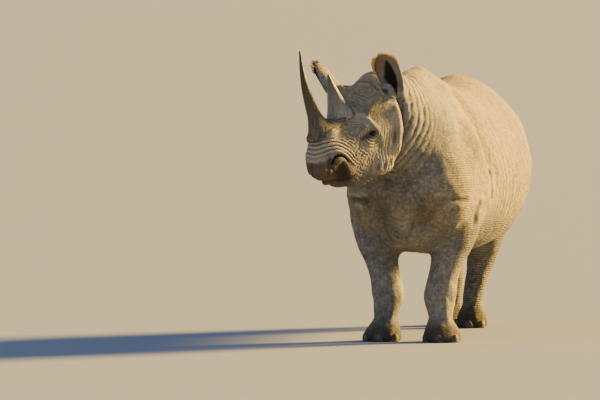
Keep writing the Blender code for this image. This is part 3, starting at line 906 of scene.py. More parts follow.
@dataclass
class Ear:
    """A cupped ear: rolled into a tube at its root and open in front towards its tip.

    Attributes:
        side: Which ear.
        root: The middle of its root, in the head's frame.
        tip: Its tip.
        facing: The way that the cup opens.
        radius: Its widest half width.
        lean: How far its middle bends back.
        thickness: How thick its wall is.
        root_sizes: The half sizes of the flesh round its root.
        root_back: How far behind the root that flesh lies.
        lobe_turn: Where its inner lobe stands, in radians round from the cup's back.
        lobe_width: How far round the lobe reaches.
        widths: Its width at places up it, as (share of its height, share of its widest).
    """

    head: HeadPlace
    side: Side
    root: Vector
    tip: Vector
    facing: Vector
    radius: float = 0.0690
    lean: float = 0.012
    thickness: float = 0.0085
    root_sizes: tuple = (0.031, 0.031, 0.050)
    root_back: float = 0.052
    lobe_turn: float = 0.55
    lobe_width: float = 0.30
    widths: tuple = ((0.0, 0.60), (0.10, 0.76), (0.30, 0.93), (0.50, 0.97), (0.68, 1.0), (0.80, 0.90),
                     (0.89, 0.69), (0.95, 0.46), (1.0, 0.05))

    def axes(self) -> tuple[Vector, Vector, Vector]:
        """The ear's own directions, in the head's frame.

        Returns:
            The way that it points, the way that it opens and the way across it.
        """
        axis = (self.tip - self.root).normalized()
        front = (self.facing - axis * self.facing.dot(axis)).normalized()
        return axis, front, axis.cross(front)

    def width(self, share: float) -> float:
        """The cup's half width, this share of the way up."""
        places, sizes = zip(*self.widths)
        return self.radius * float(np.interp(share, places, sizes))

    @staticmethod
    def roll(share: np.ndarray | float) -> np.ndarray | float:
        """How far round the cup's wall goes each way from its back, this share of the way up."""
        return np.radians(178 - 46 * np.clip(share / 0.13, 0, 1) - 20 * np.clip(share / 0.40, 0, 1) - 30 * share)

    def place(self, share: float, across: float) -> Vector:
        """A place on the cup's wall.

        Args:
            share: How far up the ear, from 0 to 1.
            across: From -1 at one rim to 1 at the other.

        Returns:
            The place, in space.
        """
        _, front, sideways = self.axes()
        turn = self.roll(share) * across
        width = self.width(share)
        middle = self.root.lerp(self.tip, share) - front * self.lean * math.sin(math.pi * share)
        deep = 0.95 - 0.40 * min(share / 0.8, 1)
        depth = -math.cos(turn) * (deep if abs(turn) < math.pi / 2 else 0.50)
        lobe = 0.26 * math.exp(-(((turn - self.lobe_turn * self.side.value) / self.lobe_width) ** 2))
        lobe *= math.sin(math.pi * min(share / 0.9, 1))
        return self.head.matrix @ (middle + sideways * width * math.sin(turn) + front * width * (depth + lobe))

    def shape(self) -> bmesh.types.BMesh:
        """The ear with its fleshy root.

        Returns:
            Overlapping closed shells.
        """
        grid = bmesh.new()
        bmesh.ops.create_grid(grid, x_segments=40, y_segments=40, size=1.0)
        for vertex in grid.verts:
            share = min(vertex.co.y * 0.5 + 0.5, 0.995)
            vertex.co = self.place(share, vertex.co.x)
        bmesh.ops.recalc_face_normals(grid, faces=grid.faces)
        shell = new_piece(f"ear_{self.side.word}_shell", grid)
        worked(shell, "SOLIDIFY", thickness=self.thickness, offset=0.0)
        bm = bmesh.new()
        bm.from_mesh(shell.data)
        bpy.data.objects.remove(shell)
        axis, front, _ = self.axes()
        seat = self.root - axis * 0.013 - front * self.root_back
        turned = axis.to_track_quat("Z", "Y").to_matrix().to_4x4()
        add_shape(bm, egg_shape(self.head.matrix @ Matrix.Translation(seat) @ turned, self.root_sizes))
        return bm

    def cover(self, points: np.ndarray) -> np.ndarray:
        """Tells the ear from the skin round it.

        Args:
            points: Rows of x, y and z.

        Returns:
            For each point, 1 on the ear and 0 away from it.
        """
        axis = self.axes()[0]
        local = np.stack(self.head.seen_from(points), axis=1) - np.array(self.root)
        along = local @ np.array(axis)
        away = np.sqrt(np.maximum((local ** 2).sum(axis=1) - along ** 2, 0.0))
        return smooth(0.0, 0.05, along) * smooth(0.13, 0.10, away)

    def cup(self, points: np.ndarray, normals: np.ndarray) -> tuple[np.ndarray, ...]:
        """Where the cup's inside is, with the painted shade in its hollow, its brown lobe and its dark rim.

        Args:
            points: Rows of x, y and z.
            normals: The skin's normals there.

        Returns:
            Four shares for each point.
        """
        axis, front, sideways = (np.array(way) for way in self.axes())
        local = np.stack(self.head.seen_from(points), axis=1) - np.array(self.root)
        share = local @ axis / (self.tip - self.root).length
        places, sizes = zip(*self.widths)
        width = np.maximum(self.radius * np.interp(share, places, sizes), 0.004)
        ahead = local @ front + self.lean * np.sin(math.pi * np.clip(share, 0, 1))
        across = local @ sideways
        deep = 0.95 - 0.40 * np.clip(share / 0.8, 0, 1)
        round_it = np.hypot(across, ahead / deep) / width
        inward = -(np.outer(across, sideways) + np.outer(ahead, front))
        inward = (inward * (normals @ self.head.inverse[:3, :3].T)).sum(axis=1) / np.hypot(across, ahead)
        inside = smooth(-0.10, 0.20, inward) * smooth(1.25, 1.12, round_it)
        inside *= smooth(-0.10, 0.02, share) * smooth(1.02, 0.96, share)
        turn = np.arctan2(across, -ahead) * self.side.value
        middle = np.interp(share, (0.08, 0.40, 0.78), (-0.30, -0.25, 0.05))
        half = np.interp(share, (-0.02, 0.10, 0.40, 0.62, 0.80), (0.10, 0.40, 0.75, 0.50, 0.12))
        # Painted shade deep in the cup
        dark = smooth(1.25, 0.80, np.abs(turn - middle) / half) * smooth(0.86, 0.74, share)
        lobe = smooth(-0.15, -0.45, turn) * smooth(0.48, 0.62, share) * smooth(0.97, 0.88, share)
        edge = smooth(0.88, 0.96, np.abs(turn) / self.roll(share)) * smooth(0.05, 0.2, share) * (round_it < 1.15)
        edge = np.maximum(edge, smooth(0.955, 0.985, share) * inside)
        return inside, inside * dark, inside * lobe, edge * smooth(0.5, 0.8, round_it)


# The skin


@dataclass
class Crease:
    """Relief to be added to the skin: a height for each point, and marks for the finish that paint shade into
    creases and highlight onto ridges.
    """

    height: np.ndarray
    fold: np.ndarray
    pale: np.ndarray
    broad: np.ndarray

    @classmethod
    def none(cls, count: int) -> Crease:
        """Relief that changes nothing."""
        return cls(*(np.zeros(count) for _ in range(4)))

    def add(self, height: np.ndarray, fold: np.ndarray | float = 0.0) -> None:
        """Adds relief and its painted shade, keeping the darker mark where two meet."""
        self.height += height
        self.fold = np.maximum(self.fold, fold)

    def model(self, height: np.ndarray) -> None:
        """Adds broad relief, which leaves the hide's colour alone."""
        self.broad += height

    def shade(self, share: np.ndarray) -> None:
        """Paints shade onto the hide, as in a hollow."""
        self.fold = np.maximum(self.fold, share)

    def lighten(self, share: np.ndarray) -> None:
        """Marks hide to be painted paler, keeping the paler mark where two meet; most such marks are painted
        highlight and painted sunlight on ridges, rims and cheeks.
        """
        self.pale = np.maximum(self.pale, share)

    def groove(self, off: np.ndarray, mask: np.ndarray, depth: float, half_width: float,
               mark: float = 1.0) -> None:
        """Adds a pinched groove.

        Args:
            off: Distance of each point from the groove's line.
            mask: Where the groove is, from 0 to 1.
            depth: How deep it is.
            half_width: Its half width.
            mark: How much shade is painted into it.
        """
        dip = bell(off, half_width) * mask
        lips = bell(off - 2.0 * half_width, half_width) * mask
        self.add(lips * depth * 0.35 - dip * depth, bell(off, half_width * 0.8) * mask * mark)

    def folds(self, turns: np.ndarray, mask: np.ndarray, height: float, mark: float = 1.0) -> None:
        """Adds a run of folds.

        Args:
            turns: How many folds lie before each point.
            mask: Where the folds are, from 0 to 1.
            height: How high they are.
            mark: How much shade is painted into their creases.
        """
        ridge = crinkle(turns)
        self.add((ridge - 0.65) * height * mask, (1.0 - ridge) ** 1.6 * mask * mark)


class FacePoints(NamedTuple):
    """The skin's points as the folds of the face see them.

    Attributes:
        side: How far each lies from the head's middle plane, on either side.
        y: How far back it lies in the head's frame.
        z: How far up it lies there.
        drift: Slow noise from -1 to 1, which breaks up even lines.
        in_face: 1 on the face, falling to 0 behind and below it.
    """

    side: np.ndarray
    y: np.ndarray
    z: np.ndarray
    drift: np.ndarray
    in_face: np.ndarray


@dataclass
class HeadFolds:
    """The folds of the face, in the head's frame. Each line is given as (back, up).

    Attributes:
        eye_left: How far each eye lies from the head's middle.
        eye_radius: The eyes' radius.
        brow: The crest over and behind the eye.
        jaw: The back edge of the cheek.
        snout: The lowest fold of the snout, which runs over the nostril and down the cheek.
        nostril: The line of the nostril's arch.
        mouth: The line of the mouth.
        before_nostril: The crease in front of the nostril.
        lip_corner: The groove beside the upper lip, as (side, up).
        crown: The roll between the forehead and the ears, as (side, back).
        lid_half: Half the length of the opening between the lids.
        lid_up: How far it opens above the eye's middle.
        lid_down: How far it opens below.
        lid_power: Its squareness, 2 for an ellipse.
    """

    head: HeadPlace
    eye_left: float
    eye_radius: float
    brow: tuple = ((-0.110, 0.153), (-0.086, 0.148), (-0.044, 0.129), (-0.012, 0.107), (0.000, 0.083),
                   (0.007, 0.048), (0.018, 0.014), (0.026, -0.027), (0.026, -0.052))
    snout: tuple = ((-0.440, 0.050), (-0.360, 0.042), (-0.307, 0.043), (-0.273, 0.032), (-0.246, 0.008),
                    (-0.226, -0.020), (-0.212, -0.050), (-0.198, -0.085), (-0.170, -0.120))
    nostril: tuple = ((-0.318, -0.018), (-0.313, 0.000), (-0.298, 0.013), (-0.276, 0.014), (-0.255, 0.003),
                      (-0.238, -0.013), (-0.226, -0.031), (-0.219, -0.052))
    mouth: tuple = ((-0.440, -0.085), (-0.370, -0.106), (-0.320, -0.132), (-0.280, -0.148), (-0.240, -0.156),
                    (-0.205, -0.156), (-0.188, -0.150))
    before_nostril: tuple = ((-0.330, 0.010), (-0.335, -0.030), (-0.325, -0.060))
    jaw: tuple = ((0.235, 0.120), (0.216, 0.053), (0.190, -0.012), (0.171, -0.083), (0.147, -0.132),
                  (0.115, -0.180), (0.070, -0.225))
    lip_corner: tuple = ((0.090, 0.018), (0.081, -0.030), (0.068, -0.075))
    crown: tuple = ((0.0, 0.187), (0.035, 0.190), (0.075, 0.181), (0.120, 0.158))
    lid_half: float = 0.0225
    lid_up: float = 0.0155
    lid_down: float = 0.0165
    lid_power: float = 1.7

    def carve(self, points: np.ndarray, crease: Crease) -> dict[str, np.ndarray]:
        """Adds the face's relief.

        Args:
            points: Rows of x, y and z.
            crease: The relief to add to.

        Returns:
            Marks for the finish, by name.
        """
        x, y, z = self.head.seen_from(points)
        side = np.abs(x)
        in_face = smooth(0.42, 0.30, y) * smooth(0.42, 0.36, side) * smooth(-0.45, -0.36, z)
        at = FacePoints(side, y, z, wander(points, 0.055, 3.0), in_face)
        self._brow(at, crease)
        self._snout(at, crease)
        self._cheek(at, crease)
        saddle = self._forehead(at, crease)
        hole, bulb = self._nostril(at, crease)
        lip, stain_and_shadow = self._lips(at, bulb, crease)
        # Painted sunlight: the cheek and the back of the jaw are painted paler and tan, as if sunlit
        painted_cheek_sun = smooth(-0.20, -0.10, y) * smooth(0.02, -0.06, z) * smooth(0.09, 0.13, side) * in_face
        painted_cheek_sun = np.maximum(painted_cheek_sun, smooth(0.07, 0.12, y) * smooth(0.07, 0.00, z) * in_face)
        painted_cheek_sun *= smooth(0.02, 0.0, beside_route(y, z, self.jaw)) * (1 - lip)
        crease.lighten(painted_cheek_sun)
        # The saddle mark holds painted sunlight, behind the front horn and on the cheeks
        return {"lip": lip, "hollow": np.maximum(hole, 0.88 * stain_and_shadow), "saddle": np.maximum(saddle, 0.75 * painted_cheek_sun)}

    def behind_jaw(self, points: np.ndarray) -> np.ndarray:
        """A share for each point that rises from 0 on the cheek to 1 behind the jaw."""
        _, y, z = self.head.seen_from(points)
        return np.where(z > 0.10, smooth(0.16, 0.24, y), smooth(0.0, 0.03, beside_route(y, z, self.jaw)))

    def _brow(self, at: FacePoints, crease: Crease) -> None:
        """Adds the crest of the brow, with the hollow of the eye's socket in front of it.

        Args:
            at: The skin's points.
            crease: The relief to add to.
        """
        side, y, z, _, in_face = at
        off = beside_route(y, z, self.brow)
        outer = in_face * smooth(0.05, 0.08, side)
        clear = smooth(0.018, 0.060, np.hypot(y, z))
        socket = smooth(0.004, -0.022, off) * smooth(-0.085, -0.022, off) * smooth(-0.13, -0.08, y)
        crease.lighten(0.95 * socket * outer)
        rim = bell(off - 0.003, 0.0125) * outer * (0.0030 + 0.0060 * smooth(0.00, 0.07, z))
        crease.add(rim - socket * clear * 0.0060 * outer)
        # Painted highlight along the brow's crest
        crease.lighten(bell(off - 0.001, 0.0085) * outer * smooth(-0.05, 0.0, z))
        striae = outer * smooth(-0.012, -0.022, off) * smooth(-0.070, -0.050, off) * smooth(0.010, 0.035, z)
        crease.folds((off + 0.003 * wander_flat(y, z)) / 0.0150, striae, 0.0042, 0.85)

    def _snout(self, at: FacePoints, crease: Crease) -> None:
        """Adds folds that cross the nose below the front horn and sweep down and back over the cheek.

        Args:
            at: The skin's points.
            crease: The relief to add to.
        """
        side, y, z, drift, in_face = at
        off = beside_route(y, z, self.snout)
        span = np.where(y < -0.20, 0.082, 0.082 + 0.9 * np.minimum(y + 0.20, 0.075))
        mask = smooth(-0.004, 0.004, off) * (off < span + 0.02) * smooth(span + 0.012, span - 0.006, off)
        mask *= smooth(0.085, 0.115, np.hypot(y, z * 0.9)) * smooth(0.10, 0.06, z - 0.5 * (y + 0.20) * (y > -0.2))
        mask = np.where(y < -0.24, smooth(-0.004, 0.004, off) * smooth(0.092, 0.084, off), mask)
        back = smooth(-0.22, -0.13, y)
        waver = wander_flat(y, z)
        turns = (off + 0.0035 * drift + back * 0.0050 * waver) / (0.0187 - 0.0015 * back)
        whole = np.clip(1 - back * (0.62 - 0.55 * drift - 0.35 * waver), 0.0, 1.0)
        crease.folds(turns, mask * in_face * whole, 0.0090, 1.0)
        # Painted highlight on the backs of the snout's folds
        crease.lighten(mask * in_face * (0.45 + 0.55 * smooth(0.6, 0.9, crinkle(turns))) * (1 - 0.4 * back))
        crease.model(-0.012 * smooth(-0.22, -0.34, y) * smooth(0.055, 0.095, side) * in_face)
        crease.add(bell(off - 0.006, 0.009) * smooth(-0.16, -0.22, y) * in_face * 0.0045)
        crackle = smooth(-0.010, -0.030, off) * smooth(-0.215, -0.17, y) * smooth(0.10, 0.02, y)
        crackle = crackle * smooth(-0.02, -0.06, z) + mask * back * 0.7
        rising = (0.75 * y + 0.66 * z + 0.010 * drift + 0.006 * waver) / 0.0205
        crease.folds(rising, crackle * in_face * np.clip(0.6 + 0.7 * drift, 0, 1), 0.0058, 0.85)
        falling = (0.66 * y - 0.75 * z + 0.012 * drift - 0.007 * waver) / 0.0225
        crease.folds(falling, crackle * in_face * np.clip(0.6 - 0.7 * drift, 0, 1), 0.0056, 0.80)

    def _cheek(self, at: FacePoints, crease: Crease) -> None:
        """Adds upright hollows and pleats on the cheek and jaw.

        Args:
            at: The skin's points.
            crease: The relief to add to.
        """
        side, y, z, drift, in_face = at
        upright = 0.907 * z + 0.42 * y
        along = 0.907 * y - 0.42 * z
        outer = in_face * smooth(0.06, 0.09, side)
        behind = beside_route(y, z, self.jaw)
        edge = in_face * smooth(0.07, 0.11, side) * smooth(0.13, 0.07, z)
        crease.model(bell(behind + 0.030, 0.040) * 0.005 * edge)
        crease.add(bell(behind - 0.017, 0.019) * -0.024 * edge, bell(behind - 0.013, 0.012) * edge * 0.7)
        temple = bell(np.hypot((y - 0.068) / 0.056, (z - 0.086) / 0.060), 1.0) * outer
        under_ear = bell(np.hypot((y - 0.122) / 0.042, (z - 0.112) / 0.030), 1.0) * outer
        crease.model(-0.015 * temple - 0.006 * under_ear)
        # Painted shade over the temple and under the ear
        crease.shade(np.maximum(0.55 * temple, 0.45 * under_ear))
        for middle_along, middle_up, half, tall, depth in (
                (0.138, -0.034, 0.0115, 0.050, 0.012), (0.037, -0.192, 0.0105, 0.027, 0.009),
                (0.077, -0.185, 0.0095, 0.034, 0.008), (0.106, -0.160, 0.0080, 0.030, 0.005)):
            dip = bell(along - middle_along - 0.008 * drift, half) * bell(upright - middle_up, tall) * outer
            crease.add(-depth * dip, 0.85 * dip)
        # Painted highlight: a pale line along the jaw's edge, as if lit by the sun
        crease.lighten(bell(behind + 0.012, 0.012) * edge * 0.8)
        pleats = smooth(0.015, 0.045, along) * smooth(0.25, 0.19, along) * outer
        pleats *= smooth(0.07, -0.03, upright) * smooth(0.030, 0.055, np.hypot(y - 0.01, z))
        crease.folds((along + 0.007 * drift) / 0.0195, pleats * (0.65 + 0.45 * drift), 0.0062, 0.75)

    def _forehead(self, at: FacePoints, crease: Crease) -> np.ndarray:
        """Adds the saddle behind the front horn, and the roll of skin between the forehead and the ears.

        Args:
            at: The skin's points.
            crease: The relief to add to.

        Returns:
            Where the saddle is, which is raised and painted as if sunlit, from 0 to 1.
        """
        side, y, z, drift, in_face = at
        above = in_face * smooth(0.08, 0.11, z)
        # The saddle is raised, and painted as if sunlit through the saddle mark
        saddle = bell(np.hypot((y + 0.145) / 0.040, (z - 0.122) / 0.045), 1.0) * smooth(0.035, 0.06, side)
        saddle *= in_face
        crease.model(0.010 * saddle)
        roll = off_route(side, y, self.crown)
        crease.groove(roll, above, 0.007, 0.0075, 0.55)
        lines = above * smooth(-0.02, 0.03, y) * smooth(0.19, 0.16, y) * smooth(0.158, 0.118, side)
        crease.folds((y + 0.25 * side + 0.010 * drift) / 0.020, lines * (0.6 + 0.4 * drift), 0.0042, 0.9)
        crease.folds((side - 0.35 * y + 0.014 * drift) / 0.023, lines * (0.5 - 0.5 * drift), 0.0036, 0.8)
        return saddle

    def _nostril(self, at: FacePoints, crease: Crease) -> tuple[np.ndarray, np.ndarray]:
        """Adds the nostril: an arched slit over a soft inner fold.

        Args:
            at: The skin's points.
            crease: The relief to add to.

        Returns:
            Where the slit is and where the inner fold is, each from 0 to 1.
        """
        side, y, z, _, _ = at
        reach = smooth(0.050, 0.078, side)
        off = off_route(y, z, self.nostril)
        width = np.interp(y, (-0.31, -0.29, -0.25, -0.22), (0.0085, 0.0100, 0.0075, 0.0050))
        # The slit is painted near-black, as painted shade in its depth
        hole = np.exp(-((off / width) ** 4)) * reach
        deep = np.interp(y, (-0.31, -0.28, -0.22), (0.024, 0.024, 0.012))
        bulb = bell(np.hypot((y + 0.270) / 0.026, (z + 0.032) / 0.021), 1.0) * reach
        crease.model(bulb * 0.004 * (1 - hole))
        crease.add(-hole * deep, hole)
        return hole, bulb

    def _lips(self, at: FacePoints, bulb: np.ndarray, crease: Crease) -> tuple[np.ndarray, np.ndarray]:
        """Adds the mouth, and the pointed upper lip with its grooves.

        Args:
            at: The skin's points.
            bulb: Where the nostril's inner fold is.
            crease: The relief to add to.

        Returns:
            Where the hide is brown, and where it is stained dark and painted with shadow, each from 0 to 1.
        """
        side, y, z, drift, in_face = at
        mouth = off_route(y, z, self.mouth)
        at_mouth = smooth(-0.175, -0.230, y) * in_face
        crease.groove(mouth, at_mouth, 0.009, 0.0065, 0.9)
        # Dark stained hide under the nostril, painted darker still as the shadow that the cheek casts there
        stain_and_shadow = bell(np.hypot((y + 0.268 + 0.20 * (z + 0.10)) / 0.050, (z + 0.094) / 0.056), 1.0)
        stain_and_shadow = np.clip(stain_and_shadow * (1.9 + 0.8 * drift) * smooth(-0.228, -0.245, y + 0.2 * (z + 0.1)), 0.0, 1.0)
        stain_and_shadow = stain_and_shadow * smooth(0.03, 0.06, side) * in_face
        crease.model(-0.010 * stain_and_shadow)
        tip = smooth(-0.04, -0.09, z) * smooth(-0.28, -0.36, y) * in_face
        crease.add(-0.024 * tip * smooth(0.015, 0.060, side))
        front = smooth(-0.295, -0.325, y) * smooth(0.030, 0.018, z) * smooth(-0.115, -0.085, z) * in_face
        crease.groove(off_route(side, z, self.lip_corner), front, 0.006, 0.0060, 0.85)
        crease.groove(side, front * smooth(-0.07, -0.04, z), 0.005, 0.0050, 0.8)
        crease.folds((z + 0.004 * drift) / 0.0150, front * smooth(0.078, 0.066, side), 0.0028, 0.6)
        flank = smooth(-0.195, -0.225, y) * smooth(-0.030, -0.060, z) * smooth(0.03, 0.06, side)
        crease.folds((z + 0.5 * y + 0.008 * drift) / 0.021, flank * in_face * (0.5 + 0.5 * drift), 0.0040, 0.7)
        corner = bell(off_route(y, z, self.before_nostril), 0.009)
        crease.add(-0.005 * corner * smooth(0.05, 0.075, side), 0.85 * corner * smooth(0.05, 0.075, side))
        lip = smooth(-0.160, -0.225, y) * smooth(0.015, -0.015, z + 0.35 * (y + 0.33)) * in_face
        shelf = smooth(-0.290, -0.320, y) * bell(z - 0.030, 0.009) * smooth(0.085, 0.070, side) * in_face
        crease.add(0.004 * shelf)
        # Painted highlight on the shelf over the lip
        crease.lighten(shelf)
        return np.maximum(lip * (1 - 0.75 * bulb), bell(mouth, 0.030) * at_mouth), stain_and_shadow

    def eyelids(self, points: np.ndarray, crease: Crease) -> tuple[np.ndarray, np.ndarray]:
        """Opens the lids over both eyes.

        Args:
            points: Rows of x, y and z, moved in place round the eyes.
            crease: The relief to add the rings of wrinkles to.

        Returns:
            The moved points and the mark of the dark lid rims.
        """
        local = np.stack(self.head.seen_from(points), axis=1)
        drift = wander(points, 0.04, 23.0)
        rims = np.zeros(len(points))
        for side in Side:
            out, along, over = (np.array(way) for way in eye_axes(side))
            away = local - np.array((side.value * self.eye_left, 0.0, 0.0))
            radius = np.maximum(np.linalg.norm(away, axis=1), 1e-6)
            ahead = away @ out
            near = (radius < 0.10) & (ahead > 0)
            run = np.arctan2(away @ along, ahead) * self.eye_radius
            rise = np.arctan2(away @ over, ahead) * self.eye_radius
            tall = np.where(rise > 0, self.lid_up, self.lid_down)
            shape = (np.abs(run) / self.lid_half) ** self.lid_power + (np.abs(rise) / tall) ** self.lid_power
            shape = shape ** (1 / self.lid_power)
            gap = (shape - 1.0) * 0.0160
            opened = smooth(0.0012, -0.0016, gap) * near
            behind = self.eye_radius - 0.0035
            pulled = radius + (behind - radius) * opened
            away *= (pulled / radius)[:, None]
            local = np.where(near[:, None], away + np.array((side.value * self.eye_left, 0.0, 0.0)), local)
            span = np.hypot(away @ along, (away @ over) * 0.95)
            below = beside_route(local[:, 1], local[:, 2], self.brow)
            rings = (ahead > -0.02) * (radius < 0.18) * smooth(0.020, 0.026, span) * smooth(0.095, 0.065, span)
            rings *= smooth(0.012, -0.010, below) * smooth(0.045, 0.015, away @ over)
            crease.folds((span + 0.003 * drift) / 0.0160 + 0.35, rings, 0.0070, 1.0)
            crease.add(0.0016 * near * bell(gap - 0.0055, 0.0030))
            # Painted highlight on the roll of the lids round the opening
            crease.lighten(near * bell(gap - 0.0060, 0.0028) * 0.7)
            rims = np.maximum(rims, near * bell(gap - 0.0005, 0.0030))
        matrix = np.array(self.head.matrix)
        return local @ matrix[:3, :3].T + matrix[:3, 3], rims


class BodyPoints(NamedTuple):
    """The skin's points as the folds of the body see them.

    Attributes:
        side: How far each lies from the body's middle plane, on either side.
        y: How far back it lies.
        z: How high it lies.
        normals: The skin's normals there.
        drift: Slow noise from -1 to 1, which breaks up even lines.
        fine: Finer noise, for the feet.
    """

    side: np.ndarray
    y: np.ndarray
    z: np.ndarray
    normals: np.ndarray
    drift: np.ndarray
    fine: np.ndarray


@dataclass
class BodyFolds:
    """The folds of the neck, shoulders, flanks and legs, in the model's frame.

    Lines on the flank are given as (y, z) and lines on the chest as (distance from the middle, z).
    """

    neck_axis: tuple = (-0.28, -0.93, 0.22)
    behind_jaw: tuple = (-0.16, -0.92, 1.20)
    blade: tuple = ((-0.330, 1.420), (-0.362, 1.385), (-0.369, 1.286), (-0.405, 1.145), (-0.368, 1.056),
                    (-0.290, 0.950), (-0.268, 0.880), (-0.300, 0.800))
    behind_blade: tuple = ((-0.107, 1.390), (-0.139, 1.297), (-0.173, 1.132), (-0.156, 1.022),
                           (-0.150, 0.925))
    elbow: tuple = ((-0.150, 0.925), (-0.165, 0.880), (-0.175, 0.829), (-0.170, 0.790))
    behind_elbow: tuple = ((-0.085, 0.950), (-0.080, 0.905), (-0.090, 0.850))
    armpit: tuple = ((-0.388, 0.762), (-0.407, 0.732), (-0.414, 0.700), (-0.405, 0.655))
    chest_crease: tuple = ((0.150, 0.772), (0.179, 0.778), (0.201, 0.784), (0.261, 0.793), (0.335, 0.788))
    chest_fork: tuple = ((0.215, 0.785), (0.166, 0.716), (0.130, 0.640), (0.085, 0.570))
    hip: tuple = ((0.56, 0.64), (0.64, 0.74), (0.72, 0.86), (0.76, 1.00))
    brisket: tuple = ((0.085, 0.800), (0.088, 0.720), (0.060, 0.640), (0.015, 0.575))

    def carve(self, points: np.ndarray, normals: np.ndarray, behind_jaw: np.ndarray,
              crease: Crease) -> dict[str, np.ndarray]:
        """Adds the body's relief.

        Args:
            points: Rows of x, y and z.
            normals: The skin's normals there.
            behind_jaw: 0 on the cheek and 1 behind the jaw.
            crease: The relief to add to.

        Returns:
            Marks for the finish, by name.
        """
        x, y, z = points.T
        side = np.abs(x)
        drift = wander(points, 0.16, 7.0)
        fine = wander(points, 0.05, 11.0)
        crease.model(0.004 * wander(points, 0.22, 19.0) * smooth(0.3, 0.5, z) + 0.0012 * fine)
        at = BodyPoints(side, y, z, normals, drift, fine)
        self._neck(points, drift, behind_jaw, crease)
        self._flank(at, crease)
        self._chest(at, crease)
        self._legs(at, crease)
        ribbed = np.clip(smooth(0.72, 0.58, z) + smooth(-0.42, -0.56, y) * smooth(1.12, 0.98, z), 0.0, 1.0)
        earthy = smooth(0.55, 0.80, z + 0.10 * drift) * smooth(-0.70, -0.45, y - 0.6 * (z - 1.1)) * behind_jaw
        dusty = np.maximum(0.5 * smooth(0.0, 0.8, normals[:, 2]) * smooth(0.25, 0.6, z), 0.8 * earthy)
        return {"ribbed": ribbed * (0.75 + 0.25 * fine), "dusty": np.clip(dusty, 0.0, 1.0)}

    def _neck(self, points: np.ndarray, drift: np.ndarray, behind_jaw: np.ndarray, crease: Crease) -> None:
        """Adds folds that ring the neck behind the jaw and fade towards the shoulder.

        Args:
            points: Rows of x, y and z.
            drift: Slow noise from -1 to 1.
            behind_jaw: 0 on the cheek and 1 behind the jaw.
            crease: The relief to add to.
        """
        axis = np.array(self.neck_axis) / np.linalg.norm(self.neck_axis)
        ahead = (points - np.array(self.behind_jaw)) @ axis + 0.022 * drift
        mask = smooth(-0.34, -0.14, ahead) * behind_jaw * smooth(0.80, 0.92, points[:, 2])
        # Painted highlight on the backs of the neck's folds
        crease.lighten(0.55 * mask * smooth(0.5, 0.9, crinkle(ahead / 0.040)))
        crease.folds(ahead / 0.040, mask * (0.7 + 0.3 * drift), 0.0100, 0.85)
        slant = ahead + 0.45 * (points[:, 2] - 1.2)
        crease.folds(slant / 0.031, mask * (0.5 - 0.5 * drift), 0.0040, 0.45)

    def _flank(self, at: BodyPoints, crease: Crease) -> None:
        """Adds the shoulder blade, the hollow behind it, faint ribs and the slits behind the elbow.

        Args:
            at: The skin's points.
            crease: The relief to add to.
        """
        side, y, z, _, drift, _ = at
        upper = smooth(0.10, 0.17, side) * smooth(0.66, 0.80, z) * smooth(1.46, 1.36, z)
        crease.model(bell(off_route(y, z, self.blade), 0.075) * upper * 0.017)
        crease.model(bell(off_route(y, z, self.behind_blade), 0.058) * upper * -0.024)
        flank = smooth(0.20, 0.30, side) * smooth(0.52, 0.66, z) * smooth(1.30, 1.12, z)
        ribs = flank * smooth(-0.12, 0.0, y) * smooth(0.80, 0.60, y)
        crease.folds((y + 0.10 * (z - 0.9) + 0.012 * drift) / 0.058, ribs * (0.6 + 0.4 * drift), 0.0075, 0.45)
        outer = smooth(0.24, 0.30, side)
        streaks = smooth(0.22, 0.32, side) * smooth(0.60, 0.75, z) * smooth(1.25, 1.05, z) * smooth(-0.2, 0.0, y)
        crease.folds((y + 0.16 * (z - 0.9) + 0.020 * drift) / 0.0215, streaks * np.clip(0.5 + 0.9 * drift, 0, 1),
                     0.0042, 0.45)
        for line, depth, half_width, mark in ((self.elbow, 0.010, 0.0170, 0.42),
                                              (self.behind_elbow, 0.005, 0.0120, 0.3),
                                              (self.armpit, 0.007, 0.0180, 0.45)):
            crease.groove(off_route(y, z, line), outer, depth, half_width, mark)
        hip = off_route(y, z, self.hip)
        crease.model(bell(hip, 0.055) * flank * -0.014)
        rump = smooth(1.00, 1.12, y) * smooth(0.10, 0.16, side) * smooth(0.62, 0.75, z) * smooth(1.2, 1.0, z)
        crease.folds((z + 0.35 * side + 0.02 * drift) / 0.075, rump * 0.6, 0.0045, 0.25)

    def _chest(self, at: BodyPoints, crease: Crease) -> None:
        """Adds the hollows beside the brisket and the forked crease where each foreleg meets the chest.

        Args:
            at: The skin's points.
            crease: The relief to add to.
        """
        side, y, z, normals, drift, _ = at
        ahead = smooth(0.05, -0.30, normals[:, 1]) * smooth(-0.25, -0.35, y)
        level = z + 0.010 * drift
        # Painted shade: the recesses beside the brisket are darkened as well as sunk
        pit = bell(side - 0.118, 0.055) * bell(level - 0.705, 0.105) * ahead
        crease.add(-0.030 * pit, 0.62 * pit)
        broken = np.clip(0.55 + 0.9 * drift, 0.1, 1.0)
        for line, depth, half_width, mark in ((self.chest_crease, 0.014, 0.0140, 0.95),
                                              (self.chest_fork, 0.014, 0.0190, 0.90),
                                              (self.brisket, 0.009, 0.0220, 0.60)):
            crease.groove(off_route(side, level, line), ahead * broken, depth, half_width, mark)
        wedge = ahead * smooth(0.11, 0.08, side) * smooth(1.02, 0.94, z) * smooth(0.56, 0.62, z)
        crease.folds((z - 0.30 * side + 0.012 * drift) / 0.026, wedge * (0.65 + 0.35 * drift), 0.0045, 0.7)
        slant = ahead * smooth(0.24, 0.18, side) * smooth(0.70, 0.64, z) * smooth(0.50, 0.56, z)
        crease.folds((z - 0.9 * side + 0.010 * drift) / 0.032, slant * (0.6 + 0.4 * drift), 0.0055, 0.65)

